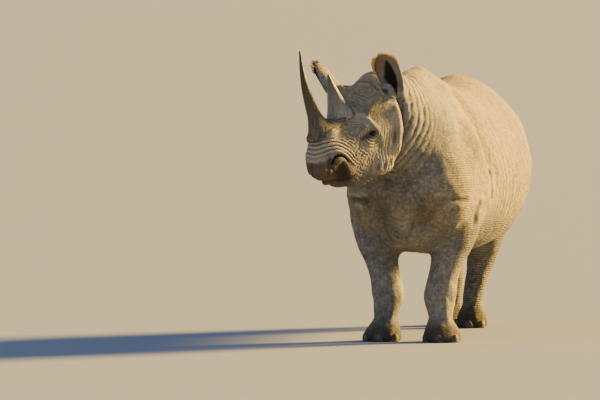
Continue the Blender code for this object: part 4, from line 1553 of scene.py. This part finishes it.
    @staticmethod
    def _legs(at: BodyPoints, crease: Crease) -> None:
        """Adds knees, hocks, and the fine creases over the feet.

        Args:
            at: The skin's points.
            crease: The relief to add to.
        """
        _, y, z, normals, _, fine = at
        fore = smooth(0.1, 0.0, y) * smooth(0.62, 0.50, z)
        crease.model((bell(z - 0.250, 0.058) * 0.012 - bell(z - 0.420, 0.070) * 0.007) * fore)
        crease.model(bell(z - 0.130, 0.035) * smooth(0.6, 0.5, z) * -0.006)
        crease.model(bell(z - 0.270, 0.110) * fore * smooth(0.0, 0.6, normals[:, 1]) * 0.012)
        rings = bell(z - 0.135, 0.040) + 0.5 * bell(z - 0.300, 0.045)
        crease.folds((z + 0.006 * fine + 0.02 * normals[:, 0]) / 0.0225, rings * (0.6 + 0.4 * fine), 0.0035, 0.45)


@dataclass
class Skin:
    """One closed skin over all the flesh.

    Attributes:
        most_faces: The most triangles that the finished skin keeps.
        cell: The remesh's even cell, in the space that the lenses have swollen.
        overlap: How far each node's copy is swollen, so that neighbours fuse.
        even_rounds: Rounds of smoothing all over.
        broad_rounds: Rounds of smoothing over the trunk.
        lid_depth: How far the lids stand over the eyes.
        sole: The lowest that the skin reaches.
        fillings: Flesh under the horns and at the lip's tip, as (middle, half sizes) in the head's frame.
        nail_sunk: How far the flesh under a nail lies behind it.
    """

    head: HeadPlace
    ears: tuple[Ear, ...]
    horns: tuple[bpy.types.Object, ...]
    most_faces: int = 194000
    cell: float = 0.0125
    overlap: float = 0.0012
    even_rounds: int = 8
    broad_rounds: int = 60
    lid_depth: float = 0.0042
    sole: float = 0.0004
    fillings: tuple = (((0, -0.232, 0.118), (0.093, 0.089, 0.046)), ((0, -0.064, 0.132), (0.076, 0.067, 0.034)),
                       ((-0.008, -0.310, -0.104), (0.054, 0.042, 0.046)))
    nail_sunk: float = 0.009

    FLESH = ("head", "neck", "trunk", "tail", "foreleg_left", "foreleg_right", "hind_leg_left",
             "hind_leg_right")
    EARS = ("ear_left", "ear_right")
    MARKS = ("fold", "ribbed", "dusty", "lip", "hollow", "inner", "lobe", "crest")

    def build(self) -> bpy.types.Object:
        """Fuses, smooths and folds the skin.

        Returns:
            The skin, finished.
        """
        piece = self._fused()
        self._smoothed(piece)
        self._folded(piece)
        triangles = sum(len(face.vertices) - 2 for face in piece.data.polygons)
        worked(piece, "DECIMATE", ratio=min(self.most_faces / triangles, 1.0))
        settle(piece, "hide", HideFinish().material(), *self.FLESH, *self.EARS)
        return piece

    def _lenses(self) -> list[Lens]:
        """Places the lenses.

        Returns:
            The lenses, from the smallest to the one over the whole head.
        """
        small = [Lens(HeadPlace.middle_of(f"eye_{side.word}"), 0.075, 1.5, 0.26) for side in Side]
        ears = [Lens(self.head.matrix @ ((ear.root + ear.tip) / 2), 0.150, 1.2, 0.32) for ear in self.ears]
        return [*small, *ears, Lens(self.head.at(0.0, -0.08, 0.0), 0.38, 3.3)]

    def _source(self) -> bpy.types.Object:
        """Gathers all the flesh, with the hollows under other pieces filled.

        Returns:
            Overlapping closed shells, as one piece.
        """
        whole = bmesh.new()
        for node in self.FLESH:
            shape = node_shape(node)
            swell(shape, self.overlap)
            add_shape(whole, shape)
        for ear in self.ears:
            add_shape(whole, ear.shape())
        head = self.head.matrix
        for place, sizes in self.fillings:
            add_shape(whole, egg_shape(head @ Matrix.Translation(place), sizes))
        for side in Side:
            eye = HeadPlace.middle_of(f"eye_{side.word}")
            radius = eye_radius(side) + self.lid_depth
            add_shape(whole, egg_shape(Matrix.Translation(eye), (radius,) * 3))
        for nail in nail_nodes():
            shape = node_shape(nail)
            bmesh.ops.translate(shape, verts=shape.verts, vec=-self.nail_sunk * nail_outward(nail))
            add_shape(whole, shape)
        return new_piece("skin", whole)

    def _fused(self) -> bpy.types.Object:
        """Remeshes the flesh as one body, finest over the eyes, ears and face.

        Returns:
            The rough skin.
        """
        piece = self._source()
        worked(piece, "SUBSURF", subdivision_type="SIMPLE", levels=2, render_levels=2)
        points = places_of(piece.data)
        lenses = self._lenses()
        for lens in lenses:
            points = lens.bend(points)
        set_places(piece.data, points)
        worked(piece, "REMESH", mode="VOXEL", voxel_size=self.cell, adaptivity=0.0)
        drop_crumbs(piece)
        points = places_of(piece.data)
        for lens in reversed(lenses):
            points = lens.bend(points, undo=True)
        set_places(piece.data, points)
        return piece

    def _smoothed(self, piece: bpy.types.Object) -> None:
        """Smooths away the facets, most over the trunk and least over the ears and feet.

        Args:
            piece: The skin.
        """
        points = places_of(piece.data)
        _, back, _ = self.head.seen_from(points)
        at_ear = np.zeros(len(points))
        for ear in self.ears:
            middle = np.array(self.head.matrix @ ear.root.lerp(ear.tip, 0.6))
            at_ear = np.maximum(at_ear, smooth(0.18, 0.13, np.linalg.norm(points - middle, axis=1)))
        tail = smooth(1.17, 1.22, points[:, 1]) * smooth(0.09, 0.06, np.abs(points[:, 0]))
        foot = smooth(0.10, 0.03, points[:, 2])
        even = (1.0 - 0.75 * at_ear) * (1.0 - 0.5 * foot)
        broad = smooth(0.20, 0.45, back) * (1 - at_ear) * (1 - tail) * smooth(0.06, 0.40, points[:, 2])
        for name, weights, rounds in (("even", even, self.even_rounds), ("broad", broad, self.broad_rounds)):
            group = piece.vertex_groups.new(name=name)
            for index, weight in enumerate(weights.tolist()):
                group.add((index,), weight, "REPLACE")
            worked(piece, "SMOOTH", factor=0.5, iterations=rounds, vertex_group=name)
            piece.vertex_groups.clear()

    def _folded(self, piece: bpy.types.Object) -> None:
        """Moves the skin into its folds and keeps the marks that its finish reads.

        Args:
            piece: The skin.
        """
        mesh = piece.data
        points, normals = places_of(mesh), normals_of(mesh)
        crease = Crease.none(len(points))
        eye = np.array([HeadPlace.middle_of("eye_left")])
        face = HeadFolds(self.head, self.head.seen_from(eye)[0][0], eye_radius(Side.LEFT))
        on_ear = np.max([ear.cover(points) for ear in self.ears], axis=0)
        marks = BodyFolds().carve(points, normals, face.behind_jaw(points) * (1.0 - on_ear), crease)
        marks |= face.carve(points, crease)
        moved, rims = face.eyelids(points, crease)
        at_rim = 1.0 - np.clip(rims * 1.2, 0.0, 1.0)
        inside, dark, lobe, edge = np.max([ear.cup(points, normals) for ear in self.ears], axis=0)
        self._collars(points, marks["saddle"], crease)
        relief = (crease.height + crease.broad) * at_rim * (1.0 - 0.8 * inside)
        moved = moved + normals * (relief - self.overlap)[:, None]
        moved[:, 2] = np.maximum(moved[:, 2], self.sole)
        set_places(mesh, moved)
        # Near-black painted shade: nostril slit and ears' hollows, the painted shadow under the nostril, and the
        # ears' dark rims
        marks["hollow"] = np.maximum(marks["hollow"] * 0.95, np.maximum(dark, 0.85 * edge))
        # fold: painted shade in the creases, with the dark lid rims
        marks["fold"] = np.maximum(crease.fold * (1 - inside), rims * 0.9)
        marks["inner"] = inside
        marks["lobe"] = lobe
        # The painted sunlight on the cheeks and behind the front horn joins the dusting mark
        marks["dusty"] = np.maximum(marks["dusty"], marks["saddle"])
        # crest: painted highlight with dusting on raised relief, and the painted highlight and sunlight that
        # lighten marks
        marks["crest"] = np.maximum(smooth(0.0005, 0.0045, crease.height), crease.pale) * (1 - inside)
        marks["ribbed"] = marks["ribbed"] * smooth(0.25, 0.40, self.head.seen_from(points)[1])
        for name in self.MARKS:
            keep_number(mesh, name, np.clip(marks[name], 0.0, 1.0))

    def _collars(self, points: np.ndarray, saddle: np.ndarray, crease: Crease) -> None:
        """Adds the lip of skin round each horn's foot.

        Args:
            points: Rows of x, y and z.
            saddle: Where sunlight is painted, behind the front horn and on the cheeks; the saddle behind the horn
                has almost no lip.
            crease: The relief to add to.
        """
        seat = 1.0 - 0.8 * saddle
        for horn in self.horns:
            gap = gap_to(horn, points, 0.03)
            # The lip of skin rises a little off each horn, with painted shade in the groove against the horn
            crease.add((bell(gap - 0.012, 0.006) * 0.0025 - bell(gap - 0.001, 0.005) * 0.0030) * seat,
                       bell(gap - 0.0015, 0.0045) * 0.95 * seat)


# Horns, eyes and nails


def eye_axes(side: Side) -> tuple[Vector, Vector, Vector]:
    """An eye's own directions, in the head's frame.

    Args:
        side: Which eye.

    Returns:
        The ways out through its middle, back along its slit and up over it.
    """
    out = Vector((side.value * 0.80, -0.58, 0.10)).normalized()
    along = Vector((side.value * 0.58, 0.80, 0.02))
    along = (along - out * along.dot(out)).normalized()
    return out, along, out.cross(along) * side.value


def eye_radius(side: Side) -> float:
    """The radius of an eye's node."""
    low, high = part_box(f"eye_{side.word}")
    return max(h - l for h, l in zip(high, low)) / 2


def nail_nodes() -> list[str]:
    """The names of all the toenails."""
    return [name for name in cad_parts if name.startswith("nail_")]


def nail_outward(nail: str) -> Vector:
    """The level way out from the foot's middle at a toenail.

    Args:
        nail: The nail's node.

    Returns:
        A direction of length 1.
    """
    foot = nail.rsplit("_", 1)[0]
    outer, inner = (HeadPlace.middle_of(f"{foot}_{number}") for number in (1, 3))
    front = HeadPlace.middle_of(f"{foot}_2")
    middle = (outer + inner) / 2 + ((outer + inner) / 2 - front) * 0.9
    way = HeadPlace.middle_of(nail) - middle
    way.z = 0.0
    return way.normalized()


def refined(name: str, node: str, levels: int, crease_over: float = math.radians(60)) -> bpy.types.Object:
    """A smoother copy of a solid node.

    Args:
        name: The new piece's name.
        node: The node to copy.
        levels: How many times its faces are halved.
        crease_over: Edges that turn by more than this stay sharp.

    Returns:
        The piece.
    """
    bm = node_shape(node)
    bmesh.ops.join_triangles(bm, faces=bm.faces, angle_face_threshold=math.radians(40),
                             angle_shape_threshold=math.radians(80))
    sharp = bm.edges.layers.float.new("crease_edge")
    for edge in bm.edges:
        if edge.is_manifold and edge.calc_face_angle() > crease_over:
            edge[sharp] = 0.9
    piece = new_piece(name, bm)
    worked(piece, "SUBSURF", levels=levels, render_levels=levels)
    return piece


@dataclass
class Horn:
    """A horn with upright fibres, flaking and ringed near its base.

    Attributes:
        seat: How far back its middle is, in the head's frame.
        spread: How far its foot widens, as a share of its width.
        trail: How far its foot is drawn out behind, for a spread of 1.
        fray: The height of its roughest fibres.
    """

    head: HeadPlace
    node: str
    seat: float
    spread: float
    trail: float
    finish: HornFinish
    fray: float = 0.0035

    def build(self) -> bpy.types.Object:
        """Refines the horn and frays its base.

        Returns:
            The horn, finished.
        """
        piece = refined(f"{self.node}_fibrous", self.node, 3)
        low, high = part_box(self.node)
        points, flare = self._flared(places_of(piece.data))
        set_places(piece.data, points)
        normals = normals_of(piece.data)
        up = (points[:, 2] - low[2]) / (high[2] - low[2])
        middle = points - points.mean(axis=0)
        fibres = wander(middle * (1, 1, 0.05), 0.009, 2.0) + 0.6 * wander(middle * (1, 1, 0.08), 0.004, 5.0)
        bands = wander(middle * (0.25, 0.25, 1), 0.012, 9.0)
        frayed = smooth(0.40, 0.02, up)
        rise = fibres * (0.0006 + frayed * self.fray * 0.7) + bands * frayed * self.fray * 0.6
        set_places(piece.data, points + normals * rise[:, None])
        keep_number(piece.data, "flare", flare)
        keep_number(piece.data, "up_horn", up)
        settle(piece, "horn", self.finish.material(self.node), self.node)
        return piece

    def _flared(self, points: np.ndarray) -> tuple[np.ndarray, np.ndarray]:
        """Spreads the horn's foot over its seat.

        Args:
            points: The horn's points.

        Returns:
            The moved points, and how far each is in the pale flare behind the horn.
        """
        x, y, z = self.head.seen_from(points)
        foot = np.exp(-np.maximum(z - 0.120, 0.0) / 0.036) * self.spread
        y_middle = self.seat - 0.10 * np.maximum(z - 0.12, 0.0)
        behind = smooth(-0.03, 0.05, y - y_middle)
        moved = np.stack([x * (1 + foot), y + (y - y_middle) * foot + self.trail * foot * behind,
                          z - 0.25 * foot * np.maximum(z - 0.13, 0)], axis=1)
        matrix = np.array(self.head.matrix)
        flare = smooth(0.20, 0.60, np.exp(-np.maximum(z - 0.120, 0.0) / 0.036)) * behind
        return moved @ matrix[:3, :3].T + matrix[:3, 3], flare


@dataclass
class Eyeball:
    """A wet eye with a clear bulge in front.

    Attributes:
        bulge: How far the clear front stands out.
        inside_node: How much smaller the ball is than its node.
    """

    head: HeadPlace
    side: Side
    bulge: float = 0.0012
    inside_node: float = 0.0006

    def build(self, material: bpy.types.Material) -> bpy.types.Object:
        """Builds the eye in its node's place.

        Args:
            material: The eye's finish.

        Returns:
            The eye, finished.
        """
        node = f"eye_{self.side.word}"
        middle = HeadPlace.middle_of(node)
        radius = eye_radius(self.side)
        ball = egg_shape(Matrix.Translation(middle), (radius - self.inside_node,) * 3, 64)
        piece = new_piece(f"{node}_ball", ball)
        out = (self.head.matrix.to_3x3() @ eye_axes(self.side)[0]).normalized()
        points = places_of(piece.data)
        away = (points - np.array(middle)) / radius
        off = np.linalg.norm(away - np.outer(away @ np.array(out), out), axis=1)
        off = np.where(away @ np.array(out) > 0, off, 1.0)
        set_places(piece.data, points + away * (self.bulge * smooth(0.62, 0.30, off))[:, None])
        keep_number(piece.data, "off_axis", off)
        settle(piece, "eye", material, node)
        return piece


def build_nails() -> None:
    """Refines every toenail in its place."""
    material = NailFinish().material()
    for node in nail_nodes():
        piece = refined(f"{node}_worn", node, 2, math.radians(45))
        points, normals = places_of(piece.data), normals_of(piece.data)
        rough = 0.0010 * wander(points, 0.012) + 0.0006 * np.sin(points[:, 2] / 0.0028)
        points += normals * (rough * smooth(0.002, 0.006, points[:, 2]))[:, None]
        set_places(piece.data, points)
        settle(piece, "nail", material, node)


# Hair


@dataclass
class Tuft:
    """A pointed lock of hair, bent as it grows.

    Attributes:
        root: Where it grows.
        way: The way that it grows, with its length.
        bend: How far its tip is carried sideways.
        thick: Its half width at the root.
        spot: Its root's place on the skin's unwrap, from 0 to 1 each way.
    """

    root: Vector
    way: Vector
    bend: Vector
    thick: float
    spot: tuple


@dataclass
class Growth:
    """Many tufts joined as one mesh, with a map for the bake.

    Attributes:
        sides: How many sides a lock has.
        rings: How many pieces it is cut into along its length.
        patch: How much of the map each way a lock takes up.
    """

    name: str
    sides: int = 3
    rings: int = 3
    patch: float = 0.003

    def grow(self, tufts: list[Tuft]) -> bpy.types.Object:
        """Builds the tufts.

        Args:
            tufts: What to grow.

        Returns:
            One joined piece.
        """
        pattern = self._straight_lock()
        bm = bmesh.new()
        bm.from_mesh(pattern)
        bm.clear()
        unwrap = bm.loops.layers.uv.new(BAKE_MAP)
        for tuft in tufts:
            count = len(bm.verts)
            bm.from_mesh(pattern)
            bm.verts.ensure_lookup_table()
            self._bend_lock(bm.verts[count:], unwrap, tuft)
        bpy.data.meshes.remove(pattern)
        bmesh.ops.recalc_face_normals(bm, faces=bm.faces)
        piece = new_piece(self.name, bm)
        piece.data.uv_layers[BAKE_MAP].active = True
        return piece

    def _straight_lock(self) -> bpy.types.Mesh:
        """A slim upright cone, a unit high and wide, cut into rings.

        Returns:
            The pattern for every lock.
        """
        bm = bmesh.new()
        along = bm.verts.layers.float.new("along")
        bmesh.ops.create_cone(bm, cap_ends=True, cap_tris=False, segments=self.sides, radius1=1.0,
                              radius2=0.08, depth=1.0, matrix=Matrix.Translation((0, 0, 0.5)))
        upright = [edge for edge in bm.edges if abs(edge.verts[0].co.z - edge.verts[1].co.z) > 0.9]
        bmesh.ops.subdivide_edges(bm, edges=upright, cuts=self.rings - 1)
        for vertex in bm.verts:
            vertex[along] = vertex.co.z
        mesh = bpy.data.meshes.new("straight_lock")
        bm.to_mesh(mesh)
        bm.free()
        return mesh

    def _bend_lock(self, points: list, unwrap: object, tuft: Tuft) -> None:
        """Puts one lock in its place and maps it.

        Args:
            points: The lock's points, as the straight lock has them.
            unwrap: The map's layer.
            tuft: Where it grows.
        """
        turned = tuft.way.to_track_quat("Z", "Y").to_matrix()
        for vertex in points:
            across, edgeways, share = vertex.co
            for loop in vertex.link_loops:
                loop[unwrap].uv = (tuft.spot[0] + self.patch * (share - 0.5),
                                   tuft.spot[1] + self.patch * 0.5 * across)
            side = turned @ Vector((across, edgeways, 0)) * tuft.thick
            vertex.co = tuft.root + tuft.way * share + tuft.bend * share * share + side


def scatter(count: int, seed: int) -> np.ndarray:
    """Rows of four even random numbers, the same on every run."""
    return np.random.default_rng(seed).random((count, 4))


@dataclass
class EarFringe:
    """The fringe along an ear's rim, longest round its tip.

    Attributes:
        count: How many locks it has.
        length: About how long the longest are.
        thick: A lock's half width at its root.
        sunk: The share of a lock that lies in the skin.
        far_rim: How much shorter the hair is on the outer rim, below its tip.
    """

    ear: Ear
    finish: HairFinish
    count: int = 1500
    length: float = 0.032
    thick: float = 0.0011
    sunk: float = 0.12
    far_rim: float = 0.35

    def build(self) -> bpy.types.Object:
        """Grows the fringe.

        Returns:
            The fringe, finished.
        """
        axis, front, sideways = (self.ear.head.matrix.to_3x3() @ way for way in self.ear.axes())
        tufts = []
        for a, b, c, d in scatter(self.count, 40 + self.ear.side.value):
            share = 0.30 + 0.69 * a ** 0.5
            rim = 1.0 if b > 0.58 else -1.0
            if share > 0.93:
                rim = 2 * b - 1
            root = self.ear.place(share, rim * 0.985)
            out = (root - self.ear.place(max(share - 0.12, 0), 0.0)).normalized()
            long = self.length * (0.45 + 0.55 * c) * (0.35 + 0.65 * min(share / 0.8, 1) ** 2)
            if rim > 0 and share < 0.72:
                long *= self.far_rim
            way = (out + axis * 0.6 - front * (0.25 * d)).normalized() * long
            bend = (axis * (d - 0.3) + sideways * (c - 0.5)) * long * 0.5
            spot = (0.05 + 0.9 * (rim * 0.5 + 0.5), 0.05 + 0.9 * share)
            tufts.append(Tuft(root - way * self.sunk, way, bend, self.thick, spot))
        piece = Growth(f"ear_fringe_{self.ear.side.word}").grow(tufts)
        settle(piece, "ear_skin", self.finish.material(piece.name))
        return piece


@dataclass
class TailTuft:
    """The wiry brush on the end of the tail.

    Attributes:
        count: How many locks it has.
        reach: How far up the tail they grow.
        length: About how long they are.
        thick: A lock's half width at its root.
    """

    finish: HairFinish
    count: int = 420
    reach: float = 0.17
    length: float = 0.085
    thick: float = 0.0016

    def build(self) -> bpy.types.Object:
        """Grows the brush all round the tail's end.

        Returns:
            The brush, finished.
        """
        points = places_of(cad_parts["tail"].data)
        bottom = points[:, 2].min()
        tufts = []
        for a, b, c, d in scatter(self.count, 77):
            level = bottom + 0.012 + self.reach * a ** 1.3
            ring = points[np.abs(points[:, 2] - level) < 0.035]
            middle = Vector(ring.mean(axis=0))
            middle.z = level
            turn = 2 * math.pi * b
            out = Vector((math.cos(turn), math.sin(turn), 0.0))
            radius = 0.75 * min(float(np.ptp(ring[:, 0])), float(np.ptp(ring[:, 1]))) / 2
            long = self.length * (0.5 + 0.6 * c)
            way = (out * 0.30 + Vector((0, 0.05, -1))).normalized() * long
            bend = (out * (d - 0.75) * 0.5 + Vector((d - 0.5, 0, 0)) * 0.3) * long
            spot = (0.05 + 0.9 * b, 0.05 + 0.9 * a)
            tufts.append(Tuft(middle + out * radius, way, bend, self.thick, spot))
        piece = Growth("tail_tuft").grow(tufts)
        settle(piece, "hide", self.finish.material(piece.name))
        return piece


@dataclass
class Lashes:
    """Short stiff lashes on both upper lids.

    Attributes:
        count: How many each eye has.
        length: About how long they are.
        thick: A lash's half width at its root.
        off_eye: How far outside the eye they grow.
    """

    head: HeadPlace
    finish: HairFinish
    count: int = 46
    length: float = 0.013
    thick: float = 0.0004
    off_eye: float = 0.0030

    def build(self) -> bpy.types.Object:
        """Grows the lashes.

        Returns:
            The lashes, finished.
        """
        tufts = []
        to_space = self.head.matrix.to_3x3()
        for side in Side:
            middle = HeadPlace.middle_of(f"eye_{side.word}")
            radius = eye_radius(side) + self.off_eye
            for a, b, c, d in scatter(self.count, 11 + side.value):
                run = (a - 0.5) * 1.35
                rise = 0.56 * math.sqrt(max(1 - (run / 0.78) ** 2, 0.0))
                ahead, along, over = eye_axes(side)
                out = to_space @ (ahead * math.cos(run) * math.cos(rise) + along * math.sin(run)
                               + over * math.sin(rise))
                out.normalize()
                down = to_space @ Vector((side.value * 0.25, -0.15, -0.25 + 0.3 * d))
                way = (out + down * 0.6).normalized() * self.length * (0.6 + 0.5 * b)
                bend = to_space @ Vector((0, 0, 1)) * self.length * 0.35 * c
                spot = (0.05 + 0.4 * a + (0.5 if side is Side.LEFT else 0.0), 0.3 + 0.4 * b)
                tufts.append(Tuft(middle + out * radius, way, bend, self.thick, spot))
        piece = Growth("eyelashes").grow(tufts)
        settle(piece, "hide", self.finish.material(piece.name))
        return piece


# The studio


@dataclass
class Studio:
    """A very wide pale floor, soft light and a distant camera with a long lens.

    Attributes:
        floor_side: The length of the floor's sides.
        air: The colour of the light from all round.
        air_strength: How strong that light is.
        suns: The distant lights, each as what `_sun` takes.
        azimuth: How far the camera stands round towards the model's left, in radians.
        elevation: How far it looks down, in radians.
        lens_mm: The length of its lens.
        between_forefeet: The place on the floor that it is set out from.
        to_left: How far left of that place it is.
        above: How far above.
        distance: How far in front.
    """

    floor_side: float = 1600.0
    air: tuple = (0.63, 0.80, 1.0, 1)
    air_strength: float = 0.52
    suns: tuple = (("key", (70, 0, 132), 34.0, (1.0, 0.63, 0.13), 13),
                   ("fill", (50, 0, -15), 0.60, (0.86, 0.94, 1.0), 60))
    azimuth: float = math.radians(13)
    elevation: float = math.radians(2.3)
    lens_mm: float = 400.0
    between_forefeet: Vector = field(default_factory=lambda: Vector((0.0003, -0.3856, 0.0)))
    to_left: float = 0.6313
    above: float = 0.7775
    distance: float = 36.765

    def build(self) -> None:
        """Sets up the floor, the lights and the camera."""
        bm = bmesh.new()
        bmesh.ops.create_grid(bm, x_segments=1, y_segments=1, size=self.floor_side / 2)
        floor = new_piece("studio_floor", bm)
        floor.data.materials.append(FloorFinish().material())
        world = bpy.data.worlds.new("studio_air")
        bpy.context.scene.world = world
        world.use_nodes = True
        air = world.node_tree.nodes["Background"]
        air.inputs["Color"].default_value = self.air
        air.inputs["Strength"].default_value = self.air_strength
        for sun in self.suns:
            self._sun(*sun)
        self._camera()

    @staticmethod
    def _sun(name: str, turn: tuple, power: float, colour: tuple, spread: float) -> None:
        """Adds a distant soft light.

        Args:
            name: The light's name.
            turn: Its rotation in degrees.
            power: Its strength.
            colour: Its colour.
            spread: How wide it looks, in degrees.
        """
        light = bpy.data.lights.new(name, "SUN")
        light.energy = power
        light.color = colour
        light.angle = math.radians(spread)
        lamp = bpy.data.objects.new(name, light)
        lamp.rotation_euler = [math.radians(angle) for angle in turn]
        bpy.context.scene.collection.objects.link(lamp)

    def _camera(self) -> None:
        """Adds the camera, square to its line of sight."""
        turn, tilt = self.azimuth, self.elevation
        ahead = Vector((-math.sin(turn) * math.cos(tilt), math.cos(turn) * math.cos(tilt), -math.sin(tilt)))
        right = Vector((math.cos(turn), math.sin(turn), 0.0))
        up = right.cross(ahead)
        camera = bpy.data.cameras.new("camera")
        camera.lens = self.lens_mm
        camera.sensor_width = 36.0
        camera.clip_end = 4000.0
        seat = bpy.data.objects.new("camera", camera)
        turned = Matrix((right, up, -ahead)).transposed().to_4x4()
        place = self.between_forefeet - right * self.to_left + up * self.above - ahead * self.distance
        seat.matrix_world = Matrix.Translation(place) @ turned
        bpy.context.scene.collection.objects.link(seat)
        bpy.context.scene.camera = seat


def main() -> None:
    """Builds every piece in order."""
    logging.basicConfig(level=logging.INFO, format="%(name)s: %(message)s")
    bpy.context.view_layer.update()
    head = HeadPlace()
    ears = (
        Ear(head, Side.LEFT, root=Vector((0.1820, 0.2140, 0.1080)), tip=Vector((0.1930, 0.1940, 0.3720)),
            facing=Vector((0.50, -1.0, 0.25))),
        Ear(head, Side.RIGHT, root=Vector((-0.1976, 0.1425, 0.1444)), tip=Vector((-0.2888, 0.1634, 0.3297)),
            facing=Vector((-1.00, -0.42, 0.28)), radius=0.0750, lean=-0.004),
    )
    dark = HornFinish(tip=(0.026, 0.020, 0.017, 1), middle=(0.056, 0.042, 0.033, 1), pale=(0.17, 0.130, 0.100, 1))
    grey = HornFinish(tip=(0.095, 0.090, 0.086, 1), middle=(0.200, 0.188, 0.180, 1), pale=(0.31, 0.285, 0.26, 1),
                      groove=(0.075, 0.066, 0.060, 1))
    horns = (Horn(head, "horn_front", seat=-0.242, spread=0.19, trail=0.42, finish=dark).build(),
             Horn(head, "horn_rear", seat=-0.064, spread=0.04, trail=0.18, finish=grey).build())
    Skin(head, ears, horns).build()
    eye = EyeFinish().material()
    for side in Side:
        Eyeball(head, side).build(eye)
    build_nails()
    ginger = HairFinish(root=(0.22, 0.14, 0.07, 1), tip=(0.90, 0.62, 0.30, 1))
    black = HairFinish(root=(0.020, 0.015, 0.012, 1), tip=(0.060, 0.040, 0.028, 1))
    for ear, finish in zip(ears, (ginger, black)):
        EarFringe(ear, finish).build()
    TailTuft(black).build()
    Lashes(head, black).build()
    Studio().build()


if __name__ == "__main__":
    main()
